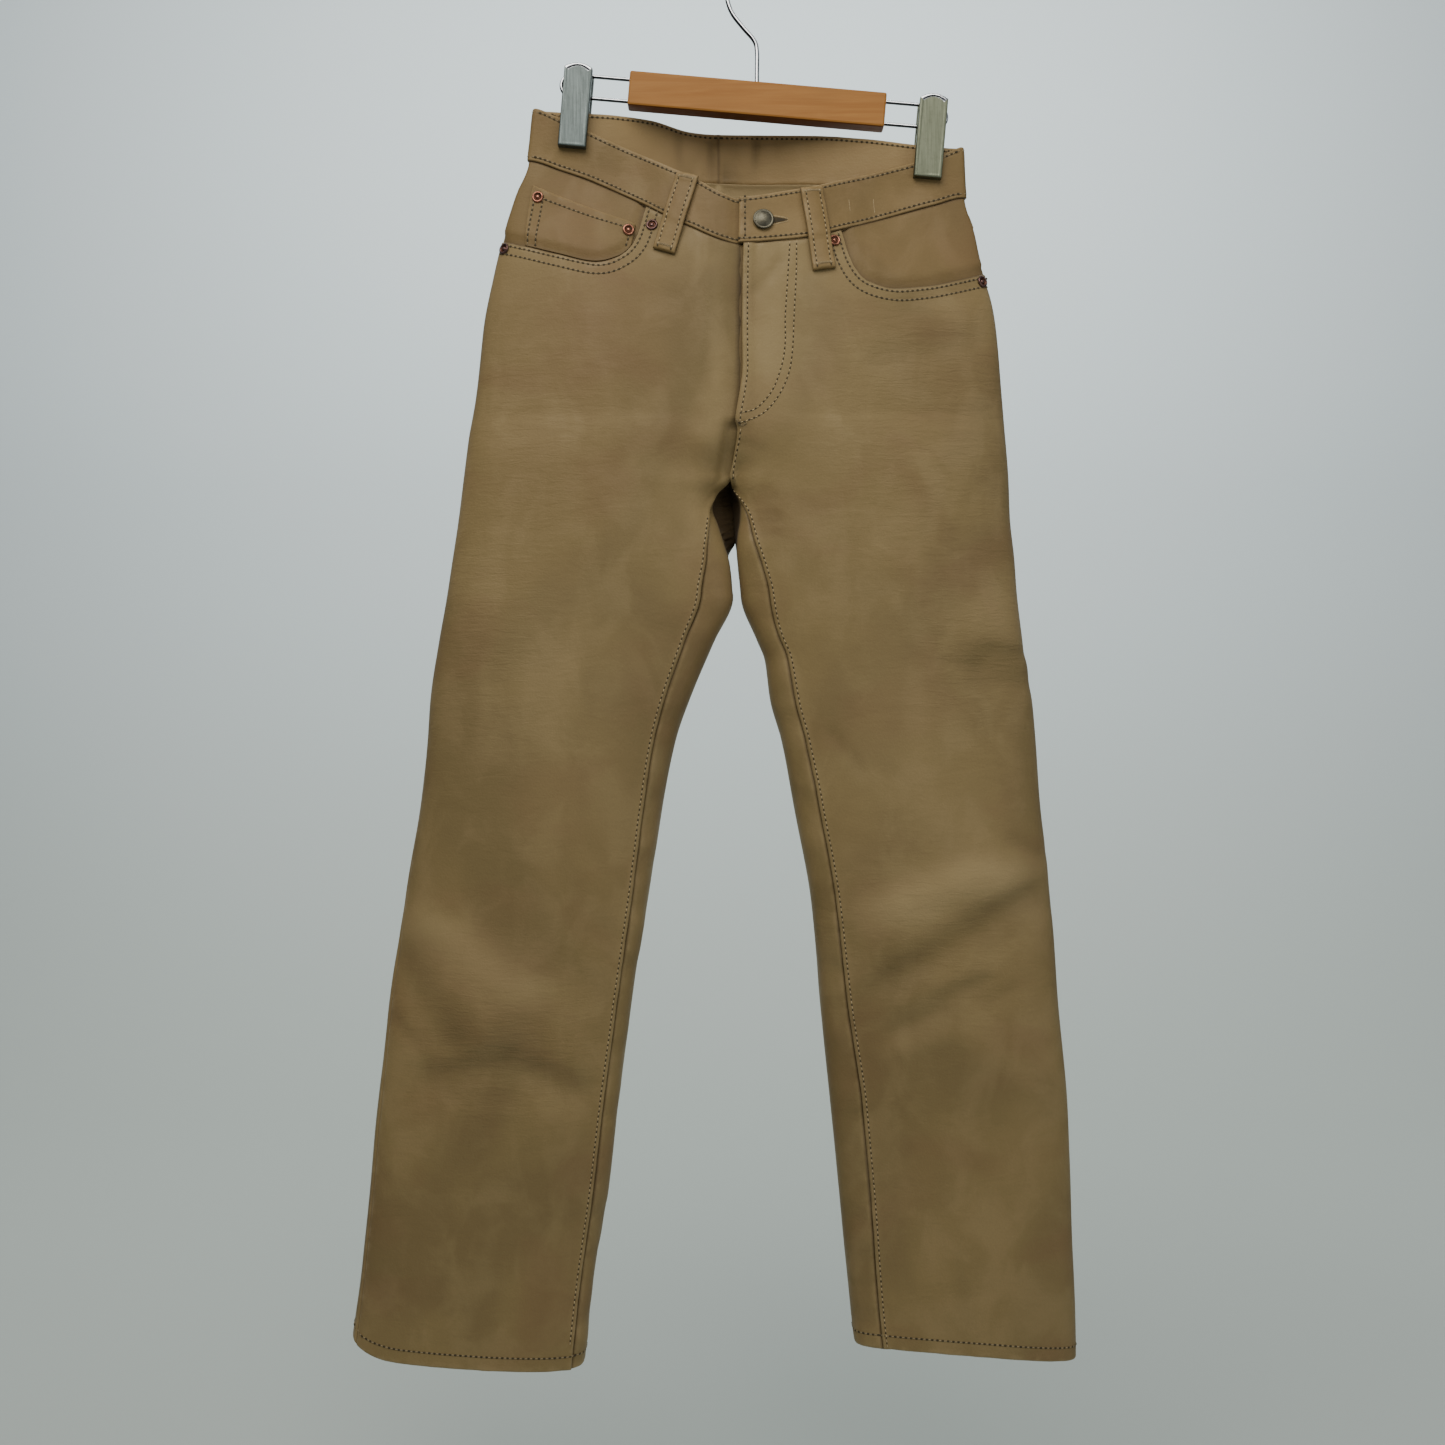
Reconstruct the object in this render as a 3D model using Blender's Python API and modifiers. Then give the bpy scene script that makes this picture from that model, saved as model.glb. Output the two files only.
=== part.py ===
"""Leather trousers in a jeans cut that hang from a wooden clip hanger.

Sizes are in millimetres and become metres where a mesh is made. The origin is the point of the
hook that rests on a rail. +X is the viewer's right, the front faces -Y and +Z is up.
"""

import math

import bmesh
import bpy
import numpy as np
from mathutils import Vector

MM = 0.001

# Leather
LEATHER = 1.5
BAND = 3.5
LOOP = 2.4
SEAM = 0.3
LAYER_GAP = 0.45
HEM_TURN_UP = 1.6
ROUNDNESS = 0.6

# Crotch, pinch under the clips, yoke
CROTCH_HEIGHT = -429.0
FRONT_CROTCH_RISE = 48.0
BACK_CROTCH_RISE = 85.0
PINCH = 2.4
PINCH_FOLD_ANGLE = 0.16
PINCH_FADE = 110.0
JAW_LINE_HEIGHT = -172.0
JAW_LINE_SLOPE = -0.086
JAW_DROP = 58.0
JAW_MARGIN = 2.0
YOKE_SIDE = 24.0
YOKE_CENTRE = 58.0

# Hanger
HANGER_TILT = math.radians(4.95)
BAR_HEIGHT = -115.0
BAR_SIZE = (213.0, 15.0, 28.4)
BAR_EDGE = 1.6
WIRE = 3.0
WIRE_SPREAD = 18.2
WIRE_SEAT = 9.0
WIRE_END = {"left": 164.5, "right": 159.5}
HOOK_WIRE = 3.7
HOOK_RADIUS = 25.0
HOOK_SEAT = 12.0
CLIP_PLACE = {"left": -148.3, "right": 145.0}
CLIP_WIDTH = 23.0
CLIP_TOP = 6.4
CLIP_BOTTOM = -62.5
CLIP_ARCH = 3.6
CLIP_DEPTH = 6.0
CLIP_SHEET = 1.2
CLIP_GAP = 4.5
SPRING_SHEET = 1.0
SPRING_WIDTH = 20.0
SPRING_LEG = 22.0
CLEARANCE = 0.3

# Buttons and rivets
BUTTON_PLACE = (4.3, -220.9)
BUTTON_RADIUS = 8.5
BUTTON_HEIGHT = 3.2
RIVET_RADIUS = 4.2
RIVET_HEIGHT = 1.6
ROUND_STEPS = 20
RIVET_STEPS = 12
BUTTON_LIFT = 0.45
RIVET_LIFT = 0.55

FRONT = 1
BACK = -1
SIDES = ("left", "right")


class Table:
    """Rows of sizes with named columns, read on a smooth curve by the first column."""

    def __init__(self, columns, rows):
        self.columns = columns
        self.rows = np.array(rows, dtype=float)

    def column(self, name):
        return self.rows[:, self.columns.index(name)]

    def read(self, name, key):
        """Cubic through the rows that never overshoots them, held at the two ends."""
        keys, values = self.rows[:, 0], self.column(name)
        gaps = np.diff(keys)
        slopes = np.diff(values) / gaps
        before, after = slopes[:-1], slopes[1:]
        total = np.where(before + after == 0.0, 1.0, before + after)
        middle = np.where(before * after > 0.0, 2.0 * before * after / total, 0.0)
        tangents = np.concatenate(([slopes[0]], middle, [slopes[-1]]))
        key = np.asarray(key, dtype=float)
        i = np.clip(np.searchsorted(keys, key) - 1, 0, len(gaps) - 1)
        t = np.clip((key - keys[i]) / gaps[i], 0.0, 1.0)
        start = values[i] * (1 + 2 * t) * (1 - t) ** 2 + tangents[i] * gaps[i] * t * (1 - t) ** 2
        end = values[i + 1] * t * t * (3 - 2 * t) + tangents[i + 1] * gaps[i] * t * t * (t - 1)
        return start + end


# Each half from hem to waist: outer fold, inner fold or centre seam, and how far round the fold
# towards the front the outseam and the inseam lie, in degrees.
SECTION = ("height", "outer", "inner_front", "inner_back", "outseam", "inseam")
HALF = {
    "left": Table(SECTION, (
        (-1165.0, -335.0, -143.5, -143.5, 17, 26),
        (-1110.0, -329.5, -138.6, -138.6, 17, 25),
        (-1027.0, -320.5, -125.5, -125.5, 17, 27),
        (-944.0, -312.0, -115.5, -115.5, 17, 27),
        (-861.0, -302.5, -104.0, -104.0, 15, 27),
        (-778.0, -290.5, -92.0, -92.0, 12, 28),
        (-695.0, -277.0, -78.5, -78.5, 8, 31),
        (-645.0, -272.0, -68.0, -68.0, 5, 33),
        (-612.0, -269.7, -56.5, -56.5, 3, 35),
        (-562.0, -262.3, -35.7, -35.7, 0, 37),
        (-529.0, -256.5, -20.5, -20.5, 0, 39),
        (-495.0, -251.5, -18.2, -18.2, 0, 34),
        (-462.0, -246.5, -20.2, -20.2, 0, 20),
        (-429.0, -242.4, -23.7, -23.7, 0, 0),
        (-396.0, -238.2, -16.9, -23.5, 0, 0),
        (-363.0, -232.4, -14.5, -25.0, 0, 0),
        (-305.0, -226.6, -15.0, -28.0, 0, 0),
        (-263.0, -218.0, -14.5, -30.0, 0, 0),
        (-226.0, -209.5, -13.5, -31.0, 0, 0),
        (-197.0, -201.5, -13.0, -32.0, 0, 0),
        (-168.0, -190.0, -13.0, -32.0, 0, 0),
        (-121.0, -184.5, -13.0, -32.0, 0, 0),
    )),
    "right": Table(SECTION, (
        (-1160.0, 263.0, 84.0, 84.0, 0, 40),
        (-1110.0, 262.0, 78.0, 78.0, 0, 40),
        (-1027.0, 259.0, 70.0, 70.0, 0, 41),
        (-944.0, 255.6, 60.6, 60.6, 0, 42),
        (-861.0, 248.0, 53.0, 53.0, 0, 38),
        (-778.0, 242.4, 45.7, 45.7, 0, 36),
        (-695.0, 233.0, 30.3, 30.3, 0, 36),
        (-645.0, 229.0, 21.5, 21.5, 0, 34),
        (-612.0, 226.0, 12.5, 12.5, 0, 34),
        (-578.0, 220.8, 7.5, 7.5, 0, 33),
        (-562.0, 218.3, 0.8, 0.8, 0, 33),
        (-529.0, 214.0, -12.5, -12.5, 0, 37),
        (-495.0, 211.7, -15.5, -15.5, 0, 32),
        (-462.0, 208.3, -17.6, -17.6, 0, 20),
        (-429.0, 206.7, -21.1, -21.1, 0, 0),
        (-396.0, 204.2, -16.7, -23.3, 0, 0),
        (-363.0, 201.7, -14.5, -25.0, 0, 0),
        (-305.0, 196.7, -15.0, -28.0, 0, 0),
        (-263.0, 189.6, -14.5, -30.0, 0, 0),
        (-246.0, 184.8, -14.0, -30.5, 0, 0),
        (-226.0, 181.0, -13.5, -31.0, 0, 0),
        (-197.0, 172.8, -13.0, -32.0, 0, 0),
        (-153.0, 170.3, -13.0, -32.0, 0, 0),
        (-121.0, 169.0, -13.0, -32.0, 0, 0),
    )),
}

# Half depths from the middle to the front and to the back.
DEPTH = Table(("height", "front", "back"), (
    (-1165.0, 27, 27),
    (-1027.0, 28, 28),
    (-861.0, 33, 29),
    (-695.0, 35, 34),
    (-562.0, 37, 39),
    (-429.0, 36, 44),
    (-305.0, 34, 47),
    (-240.0, 30, 41),
    (-195.0, 25, 33),
    (-120.0, 21, 29),
))

# Waistband edges across the front and the back.
WAIST = {
    FRONT: Table(("across", "top", "bottom"), (
        (-190.0, -121.0, -165.0),
        (-184.0, -121.5, -166.0),
        (-164.0, -129.5, -173.0),
        (-139.0, -140.7, -182.0),
        (-97.0, -161.6, -203.5),
        (-57.0, -182.4, -226.5),
        (-16.0, -203.0, -242.0),
        (35.0, -194.2, -237.4),
        (76.0, -181.9, -224.9),
        (128.0, -167.1, -207.7),
        (148.0, -161.8, -201.9),
        (171.0, -153.0, -196.0),
        (174.0, -152.5, -196.0),
    )),
    BACK: Table(("across", "top", "bottom"), (
        (-190.0, -121.0, -165.0),
        (-184.0, -121.5, -166.0),
        (-137.0, -124.1, -167.0),
        (-90.0, -124.5, -167.5),
        (-56.0, -129.6, -171.0),
        (-16.0, -131.0, -173.0),
        (45.0, -136.4, -178.0),
        (87.0, -143.0, -185.0),
        (132.0, -149.9, -192.0),
        (171.0, -153.0, -196.0),
        (174.0, -152.5, -196.0),
    )),
}

# Hem line of each leg: height at the outer fold, and rise towards the inner fold.
HEM = {"left": (-1150.5, -10.0), "right": (-1154.5, 13.0)}

# Edge of each pocket opening, from the outseam to the waist seam.
OPENING = {
    "left": Table(("across", "height"), (
        (-213.0, -233.0),
        (-186.0, -241.5),
        (-162.0, -248.6),
        (-131.0, -256.0),
        (-113.0, -251.5),
        (-100.0, -238.0),
        (-91.0, -207.0),
    )),
    "right": Table(("across", "height"), (
        (68.5, -228.6),
        (76.0, -255.0),
        (88.0, -271.0),
        (110.0, -277.5),
        (136.0, -275.0),
        (163.0, -268.5),
        (189.0, -260.0),
    )),
}

# Large folds and bulges: half, face, start (x, z), end (x, z), width, and rise, negative in a trough.
FOLDS = (
    ("right", FRONT, 176, -754, 190, -752, 30, 6.0),
    ("right", FRONT, 226, -772, 176, -798, 13, -6.0),
    ("right", FRONT, 176, -798, 112, -838, 13, -5.0),
    ("right", FRONT, 176, -848, 120, -874, 13, -3.0),
    ("right", FRONT, 192, -556, 204, -562, 24, 4.0),
    ("right", FRONT, 182, -583, 220, -585, 12, -4.5),
    ("left", FRONT, -284, -826, -250, -890, 13, -4.0),
    ("left", FRONT, -214, -868, -200, -870, 30, 5.0),
    ("left", FRONT, -262, -918, -204, -906, 13, -4.5),
    ("left", FRONT, -204, -906, -150, -928, 13, -4.0),
    ("left", BACK, -280, -800, -150, -822, 15, -4.0),
    ("left", BACK, -262, -852, -130, -838, 15, -5.0),
    ("left", BACK, -290, -900, -170, -884, 15, -3.5),
    ("right", BACK, 225, -782, 110, -800, 15, -4.5),
    ("right", BACK, 205, -836, 80, -824, 15, -5.0),
    ("right", BACK, 235, -880, 130, -868, 15, -3.0),
    ("left", BACK, -190, -505, -60, -470, 18, -4.0),
    ("right", BACK, 150, -500, 20, -466, 18, -4.0),
)


def smooth(t):
    """Ease from 0 to 1."""
    t = np.clip(t, 0.0, 1.0)
    return t * t * (3 - 2 * t)


def inner(side, face, height):
    """Across position of the inner fold, or above the crotch of the centre seam."""
    name = "inner_front" if face == FRONT else "inner_back"
    return HALF[side].read(name, height)


def centre(face, height):
    """Across position of the plane between the two halves."""
    return (inner("left", face, height) + inner("right", face, height)) / 2


def span(face, height):
    """Angle from the outer fold to the inner fold, or above the crotch to the centre seam."""
    rise = FRONT_CROTCH_RISE if face == FRONT else BACK_CROTCH_RISE
    return math.pi - math.pi / 2 * np.clip((height - CROTCH_HEIGHT) / rise, 0.0, 1.0)


def radius(side, face, height):
    """Signed half width of the section that a face belongs to."""
    width = inner(side, face, height) - HALF[side].read("outer", height)
    return width / (1 - np.cos(span(face, height)))


def angle_at(side, face, x, height):
    """Angle round the leg of a point on a face, from its place across."""
    turn = 1 - (x - HALF[side].read("outer", height)) / radius(side, face, height)
    return face * np.arccos(np.clip(turn, -1.0, 1.0))


def fold_rise(side, face, x, height):
    """Height of the large folds and bulges at a point of a face."""
    total = np.zeros(np.shape(x))
    for half, on_face, x0, z0, x1, z1, width, rise in FOLDS:
        if (half, on_face) != (side, face):
            continue
        run = np.array((x1 - x0, z1 - z0), dtype=float)
        along = np.clip(((x - x0) * run[0] + (height - z0) * run[1]) / run.dot(run), 0.0, 1.0)
        away = np.hypot(x - x0 - along * run[0], height - z0 - along * run[1])
        total = total + rise * np.exp(-((away / width) ** 2))
    return total


def face_depth(side, face, angle, x, height):
    """Distance of a face from the middle plane: a round leg that flattens to the clips' pinch."""
    depth = DEPTH.read("front" if face == FRONT else "back", height)
    round_part = np.abs(np.sin(angle)) ** ROUNDNESS
    free = (depth + fold_rise(side, face, x, height)) * round_part
    clip = CLIP_PLACE[side] - math.sin(HANGER_TILT) * JAW_DROP
    jaw_edge = clip - math.copysign(CLIP_WIDTH / 2 + JAW_MARGIN, clip)
    middle = inner(side, face, height)
    from_centre = np.clip((x - middle) / (jaw_edge - middle), 0.0, 1.0)
    turn = np.sin(np.minimum(np.abs(angle), PINCH_FOLD_ANGLE) / PINCH_FOLD_ANGLE * math.pi / 2)
    pinched = PINCH * turn + (depth - PINCH) * (1 + np.cos(math.pi * from_centre)) / 2
    jaw_line = JAW_LINE_HEIGHT + JAW_LINE_SLOPE * x
    held = smooth((height - jaw_line) / PINCH_FADE + 1)
    return free * (1 - held) + pinched * held


def leather(side, angle, height):
    """Middle of the leather: angle 0 is the outer fold, and it grows over the front."""
    angle, height = np.broadcast_arrays(np.asarray(angle, float), np.asarray(height, float))
    on_front = np.sin(angle) >= 0
    points = np.empty(angle.shape + (3,))
    points[..., 2] = height
    for face in (FRONT, BACK):
        x = HALF[side].read("outer", height) + radius(side, face, height) * (1 - np.cos(angle))
        y = -face * face_depth(side, face, angle, x, height)
        here = on_front if face == FRONT else ~on_front
        points[here, 0] = x[here]
        points[here, 1] = y[here]
    return points


def leather_with_normals(side, angle, height):
    """Middle of the leather and its outward directions."""
    turn, lift = 0.004, 0.5
    across = leather(side, angle + turn, height) - leather(side, angle - turn, height)
    up = leather(side, angle, height + lift) - leather(side, angle, height - lift)
    normals = np.cross(across, up) * (1 if side == "left" else -1)
    normals /= np.linalg.norm(normals, axis=-1, keepdims=True)
    return leather(side, angle, height), normals


def face_with_normals(face, x, height):
    """Middle of the leather and its outward directions, by place across and height."""
    x, height = np.broadcast_arrays(np.asarray(x, float), np.asarray(height, float))
    left = leather_with_normals("left", angle_at("left", face, x, height), height)
    right = leather_with_normals("right", angle_at("right", face, x, height), height)
    on_left = (x < centre(face, height))[..., None]
    return np.where(on_left, left[0], right[0]), np.where(on_left, left[1], right[1])


def material(name, colour, roughness, metallic=0.0):
    """A plain Principled material."""
    made = bpy.data.materials.new(name)
    made.use_nodes = True
    shader = made.node_tree.nodes["Principled BSDF"]
    shader.inputs["Base Color"].default_value = (*colour, 1.0)
    shader.inputs["Roughness"].default_value = roughness
    shader.inputs["Metallic"].default_value = metallic
    return made


def leather_material(name):
    return material(name, (0.23, 0.165, 0.078), 0.75)


def steel_material(name):
    return material(name, (0.45, 0.47, 0.45), 0.35, 1.0)


def add(name, mesh, made_material, collection):
    """Link a mesh as a named object with its own material."""
    made = bpy.data.objects.new(name, mesh)
    mesh.materials.append(made_material)
    collection.objects.link(made)
    return made


def drawn_in(points, gap):
    """The grid with each border moved a little towards its neighbours."""
    moved = points.copy()
    for axis in (0, 1):
        for edge, beside in ((0, 1), (-1, -2)):
            step = np.take(points, beside, axis) - np.take(points, edge, axis)
            step *= gap / np.linalg.norm(step, axis=-1, keepdims=True)
            if axis == 0:
                moved[edge] += step
            else:
                moved[:, edge] += step
    return moved


def kept_on_side(points, side, face):
    """Points held on their own half's side of the centre plane."""
    limit = centre(face, points[..., 2])
    if side == "left":
        points[..., 0] = np.minimum(points[..., 0], limit - SEAM / 2)
    else:
        points[..., 0] = np.maximum(points[..., 0], limit + SEAM / 2)
    return points


def wall(name, collection, points, normals, outward=LEATHER / 2, inward=LEATHER / 2, keep=None):
    """A closed wall of leather round a grid of middle points."""
    rows, columns = points.shape[:2]
    middle = drawn_in(points, SEAM / 2)
    thickness = [np.broadcast_to(np.asarray(t, float), (rows, columns)) for t in (outward, inward)]
    outer = middle + normals * thickness[0][..., None]
    under = middle - normals * thickness[1][..., None]
    if keep:
        outer = kept_on_side(outer, *keep)
        under = kept_on_side(under, *keep)
    corners = np.concatenate((outer.reshape(-1, 3), under.reshape(-1, 3))) * MM
    count = rows * columns
    faces = []
    for r in range(rows - 1):
        for c in range(columns - 1):
            a = r * columns + c
            quad = (a, a + 1, a + columns + 1, a + columns)
            faces.append(quad)
            faces.append(tuple(count + i for i in reversed(quad)))
    border = [c for c in range(columns)]
    border += [r * columns + columns - 1 for r in range(1, rows)]
    border += [(rows - 1) * columns + c for c in range(columns - 2, -1, -1)]
    border += [r * columns for r in range(rows - 2, 0, -1)]
    for a, b in zip(border, border[1:] + border[:1]):
        faces.append((b, a, count + a, count + b))
    mesh = bpy.data.meshes.new(name)
    mesh.from_pydata([tuple(p) for p in corners], [], faces)
    shell = bmesh.new()
    shell.from_mesh(mesh)
    bmesh.ops.recalc_face_normals(shell, faces=shell.faces)
    shell.to_mesh(mesh)
    shell.free()
    return add(name, mesh, leather_material(name + "_leather"), collection)


# Rows of the panels, as shares of the way from hem to crotch and from crotch to the top edge.
ROWS_BELOW_CROTCH = (
    0.0, 0.0165, 0.0195, 0.06, 0.11, 0.16, 0.21, 0.26, 0.295, 0.325, 0.352, 0.378, 0.404, 0.43,
    0.456, 0.482, 0.51, 0.545, 0.59, 0.64, 0.69, 0.74, 0.78, 0.81, 0.85, 0.89, 0.93, 0.965, 1.0,
)
ROWS_ABOVE_CROTCH = (0.0, 0.02, 0.06, 0.12, 0.2, 0.3, 0.42, 0.56, 0.7, 0.82, 0.92, 1.0)
SETTLED_ROW = 0.6
HEM_ROWS = 2

# Stations of the waist seam, as shares of the width from the outer fold to the centre seam.
FOLD_STATIONS = (0.0, 0.0018, 0.006, 0.0128)
# The same along the pocket opening, as shares of the way to its inner corner.
POCKET_STATIONS = (0.022, 0.08, 0.18, 0.31, 0.46, 0.61, 0.75, 0.86, 0.94, 1.0)
BACK_STATIONS = (0.05, 0.12, 0.2, 0.28, 0.38, 0.5, 0.63, 0.76, 0.88, 1.0)
FLY_STATIONS = 5


# Levels from which the heights of seams are found, and the rounds that it takes.
WAIST_LEVEL = -180.0
POCKET_LEVEL = -245.0
ROUNDS = 40


def waist_height(side, face, share, edge):
    """Height of a waistband edge at a share of the width from the outer fold."""
    height = np.full(np.shape(share), WAIST_LEVEL)
    for _ in range(ROUNDS):
        outer = HALF[side].read("outer", height)
        x = outer + (inner(side, face, height) - outer) * share
        height = WAIST[face].read(edge, x)
    return height


def pocket_corner(side):
    """Share of the width at which the pocket opening meets the waist seam."""
    across = OPENING[side].column("across")[-1 if side == "left" else 0]
    height = WAIST[FRONT].read("bottom", across)
    outer = HALF[side].read("outer", height)
    return float((across - outer) / (inner(side, FRONT, height) - outer))


def share_angle(share):
    """Angle of a share of the width, where the half ends at the centre seam."""
    return np.arccos(1 - np.asarray(share, float))


def pocket_shares(side):
    """Stations of the pocket opening, as shares of the width from the outer fold."""
    return np.array((0.0,) + POCKET_STATIONS) * pocket_corner(side)


def opening_height(side, shares):
    """Height of the pocket opening's edge at shares of the width."""
    height = np.full(np.shape(shares), POCKET_LEVEL)
    for _ in range(ROUNDS):
        outer = HALF[side].read("outer", height)
        x = outer + (inner(side, FRONT, height) - outer) * shares
        height = (height + OPENING[side].read("height", x)) / 2
    return height


def front_top(side):
    """Top edge of a front panel: along the pocket opening, then along the waist seam."""
    opening = pocket_shares(side)
    fly = np.linspace(opening[-1], 1.0, FLY_STATIONS + 1)[1:]
    heights = np.concatenate((opening_height(side, opening), waist_height(side, FRONT, fly, "bottom")))
    return share_angle(np.concatenate((opening, fly))), heights


def panel_grid(side, face, top_angles, top_heights):
    """Angles and heights of a leg panel's points, from the hem to its top edge."""
    shares = np.linspace(0.0, 1.0, len(top_angles)) if face == FRONT else top_angles / top_angles[-1]
    angles, heights = [], []
    hem_outer, hem_rise = HEM[side]
    hem = hem_outer + hem_rise * (1 - np.cos(shares * math.pi)) / 2
    for row in ROWS_BELOW_CROTCH:
        height = hem + (CROTCH_HEIGHT - hem) * row
        start = np.radians(HALF[side].read("outseam", height))
        end = face * math.pi - np.radians(HALF[side].read("inseam", height))
        angles.append(start + (end - start) * shares)
        heights.append(height)
    for row in ROWS_ABOVE_CROTCH[1:]:
        height = CROTCH_HEIGHT + (top_heights - CROTCH_HEIGHT) * row
        end = face * span(face, height)
        even = shares * end
        placed = top_angles / top_angles[-1] * end
        angles.append(even + (placed - even) * smooth(row / SETTLED_ROW))
        heights.append(height)
    return np.array(angles), np.array(heights)


def hem_thickness(shape):
    """Inward thickness of a leg panel, doubled where the hem is turned up."""
    inward = np.full(shape, LEATHER / 2)
    inward[:HEM_ROWS] += HEM_TURN_UP
    return inward


def add_leg_panels(collection):
    """Fronts and backs of both legs."""
    for side in SIDES:
        angles, heights = panel_grid(side, FRONT, *front_top(side))
        points, normals = leather_with_normals(side, angles, heights)
        inward = hem_thickness(angles.shape)
        wall("front_" + side, collection, points, normals, inward=inward, keep=(side, FRONT))
        shares = np.array(FOLD_STATIONS[:1] + FOLD_STATIONS[3:] + BACK_STATIONS)
        angles, heights = panel_grid(side, BACK, -share_angle(shares), yoke_seam(side, shares))
        points, normals = leather_with_normals(side, angles, heights)
        inward = hem_thickness(angles.shape)
        wall("back_" + side, collection, points, normals, inward=inward, keep=(side, BACK))


def yoke_seam(side, shares):
    """Height of the seam under the yoke."""
    drop = YOKE_SIDE + (YOKE_CENTRE - YOKE_SIDE) * shares
    return waist_height(side, BACK, shares, "bottom") - drop


def add_yokes(collection):
    """Back yokes between the waistband and the seat."""
    shares = np.array(FOLD_STATIONS[:1] + FOLD_STATIONS[3:] + BACK_STATIONS)
    rows = np.linspace(0.0, 1.0, 4)[:, None]
    for side in SIDES:
        low, high = yoke_seam(side, shares), waist_height(side, BACK, shares, "bottom")
        heights = low + (high - low) * rows
        angles = np.broadcast_to(-share_angle(shares), heights.shape)
        points, normals = leather_with_normals(side, angles, heights)
        wall("yoke_" + side, collection, points, normals, keep=(side, BACK))


FACING_OVERLAP = 12.0
FACING_BEYOND = 0.05
FACING_SINK = 2.8
FACING_LEVEL = (6.0, 22.0)
FACING_ROWS = 8
EDGE_SAMPLES = 160


def opening_distance(side, x, height):
    """Distance from the pocket opening's edge, positive where the facing shows."""
    table = OPENING[side]
    across = np.linspace(table.rows[0, 0], table.rows[-1, 0], EDGE_SAMPLES)
    edge = table.read("height", across)
    away = np.hypot(x[..., None] - across, height[..., None] - edge).min(axis=-1)
    corner = across[-1] if side == "left" else across[0]
    outside = x < corner if side == "left" else x > corner
    shows = outside & (height > table.read("height", x))
    return np.where(shows, away, -away)


def facing_sink(side, points):
    """How far the facing lies under the front panel's level."""
    away = opening_distance(side, points[..., 0], points[..., 2])
    near, far = FACING_LEVEL
    return FACING_SINK * (1 - smooth((away - near) / (far - near)))


def add_facings(collection):
    """Pocket facings, which dip under the front panels at the openings."""
    rows = np.linspace(0.0, 1.0, FACING_ROWS)[:, None]
    for side in SIDES:
        opening = pocket_shares(side)
        shares = np.append(opening, opening[-1] + FACING_BEYOND)
        high = waist_height(side, FRONT, shares, "bottom")
        edge = opening_height(side, shares)
        lowest = edge.argmin()
        edge[lowest:] = edge[lowest]
        low = edge - FACING_OVERLAP
        heights = low + (high - low) * rows
        angles = np.broadcast_to(share_angle(shares), heights.shape)
        points, normals = leather_with_normals(side, angles, heights)
        points = points - normals * facing_sink(side, points)[..., None]
        wall("facing_" + side, collection, points, normals)


# Coin pocket: outer and inner corners of its top edge, and its sides at the foot.
COIN_TOP = ((-185.5, -189.0), (-99.5, -222.5))
COIN_TOP_LEVEL = -205.0
COIN_FOOT = (-191.0, -103.0)
COIN_GAP = 1.6
COIN_ROWS = 7


def share_at(side, x, height):
    """Share of the width at a place on the front."""
    outer = HALF[side].read("outer", height)
    return (x - outer) / (inner(side, FRONT, height) - outer)


def add_coin_pocket(collection):
    """Small pocket on the left facing, open along its top edge."""
    (x0, z0), (x1, z1) = COIN_TOP
    stations = pocket_shares("left")[3:-1]
    foot_ends = [share_at("left", x, OPENING["left"].read("height", x)) for x in COIN_FOOT]
    top_ends = [share_at("left", x, z) for x, z in COIN_TOP]
    foot = np.concatenate((foot_ends[:1], stations[1:-1], foot_ends[1:]))
    top = np.concatenate((top_ends[:1], stations[1:-1], top_ends[1:]))
    low = opening_height("left", foot) + COIN_GAP
    outer = HALF["left"].read("outer", COIN_TOP_LEVEL)
    top_x = outer + (inner("left", FRONT, COIN_TOP_LEVEL) - outer) * top
    high = z0 + (z1 - z0) * (top_x - x0) / (x1 - x0)
    rows = np.linspace(0.0, 1.0, COIN_ROWS)[:, None]
    angles = share_angle(foot) + (share_angle(top) - share_angle(foot)) * rows
    points, normals = leather_with_normals("left", angles, low + (high - low) * rows)
    level = LEATHER + LAYER_GAP - facing_sink("left", points)
    wall("coin_pocket", collection, points + normals * level[..., None], normals)


FLY_SHIELD = {"left": -6.0, "right": 36.0, "bottom": -378.0, "foot_width": 0.55, "foot_share": 0.4}
FLY_LEVEL = -240.0


def add_fly_shield(collection):
    """Underlap behind the fly, inside the front."""
    across = np.linspace(FLY_SHIELD["left"], FLY_SHIELD["right"], 5)
    rows = np.linspace(0.0, 1.0, 8)[:, None]
    top = WAIST[FRONT].read("bottom", centre(FRONT, FLY_LEVEL) + across) - SEAM
    heights = FLY_SHIELD["bottom"] + (top - FLY_SHIELD["bottom"]) * rows
    foot = FLY_SHIELD["foot_width"]
    x = centre(FRONT, heights) + across * (foot + (1 - foot) * smooth(rows / FLY_SHIELD["foot_share"]))
    points, normals = face_with_normals(FRONT, x, heights)
    wall("fly_shield", collection, points - normals * (LEATHER + LAYER_GAP), normals)


BAND_ROWS = 4
UNDERLAP = {"ramp": 14.0, "length": 32.0, "stations": 4, "level": -220.0}


def band_stations(side):
    """Stations of a band half from the centre back round the fold to the centre front."""
    back = np.array(FOLD_STATIONS + BACK_STATIONS)
    opening = pocket_shares(side)
    fly = np.linspace(opening[-1], 1.0, FLY_STATIONS + 1)[1:]
    front = np.concatenate((FOLD_STATIONS[1:3], opening[1:], fly))
    return -share_angle(back[::-1]), back[::-1], share_angle(front), front


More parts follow.
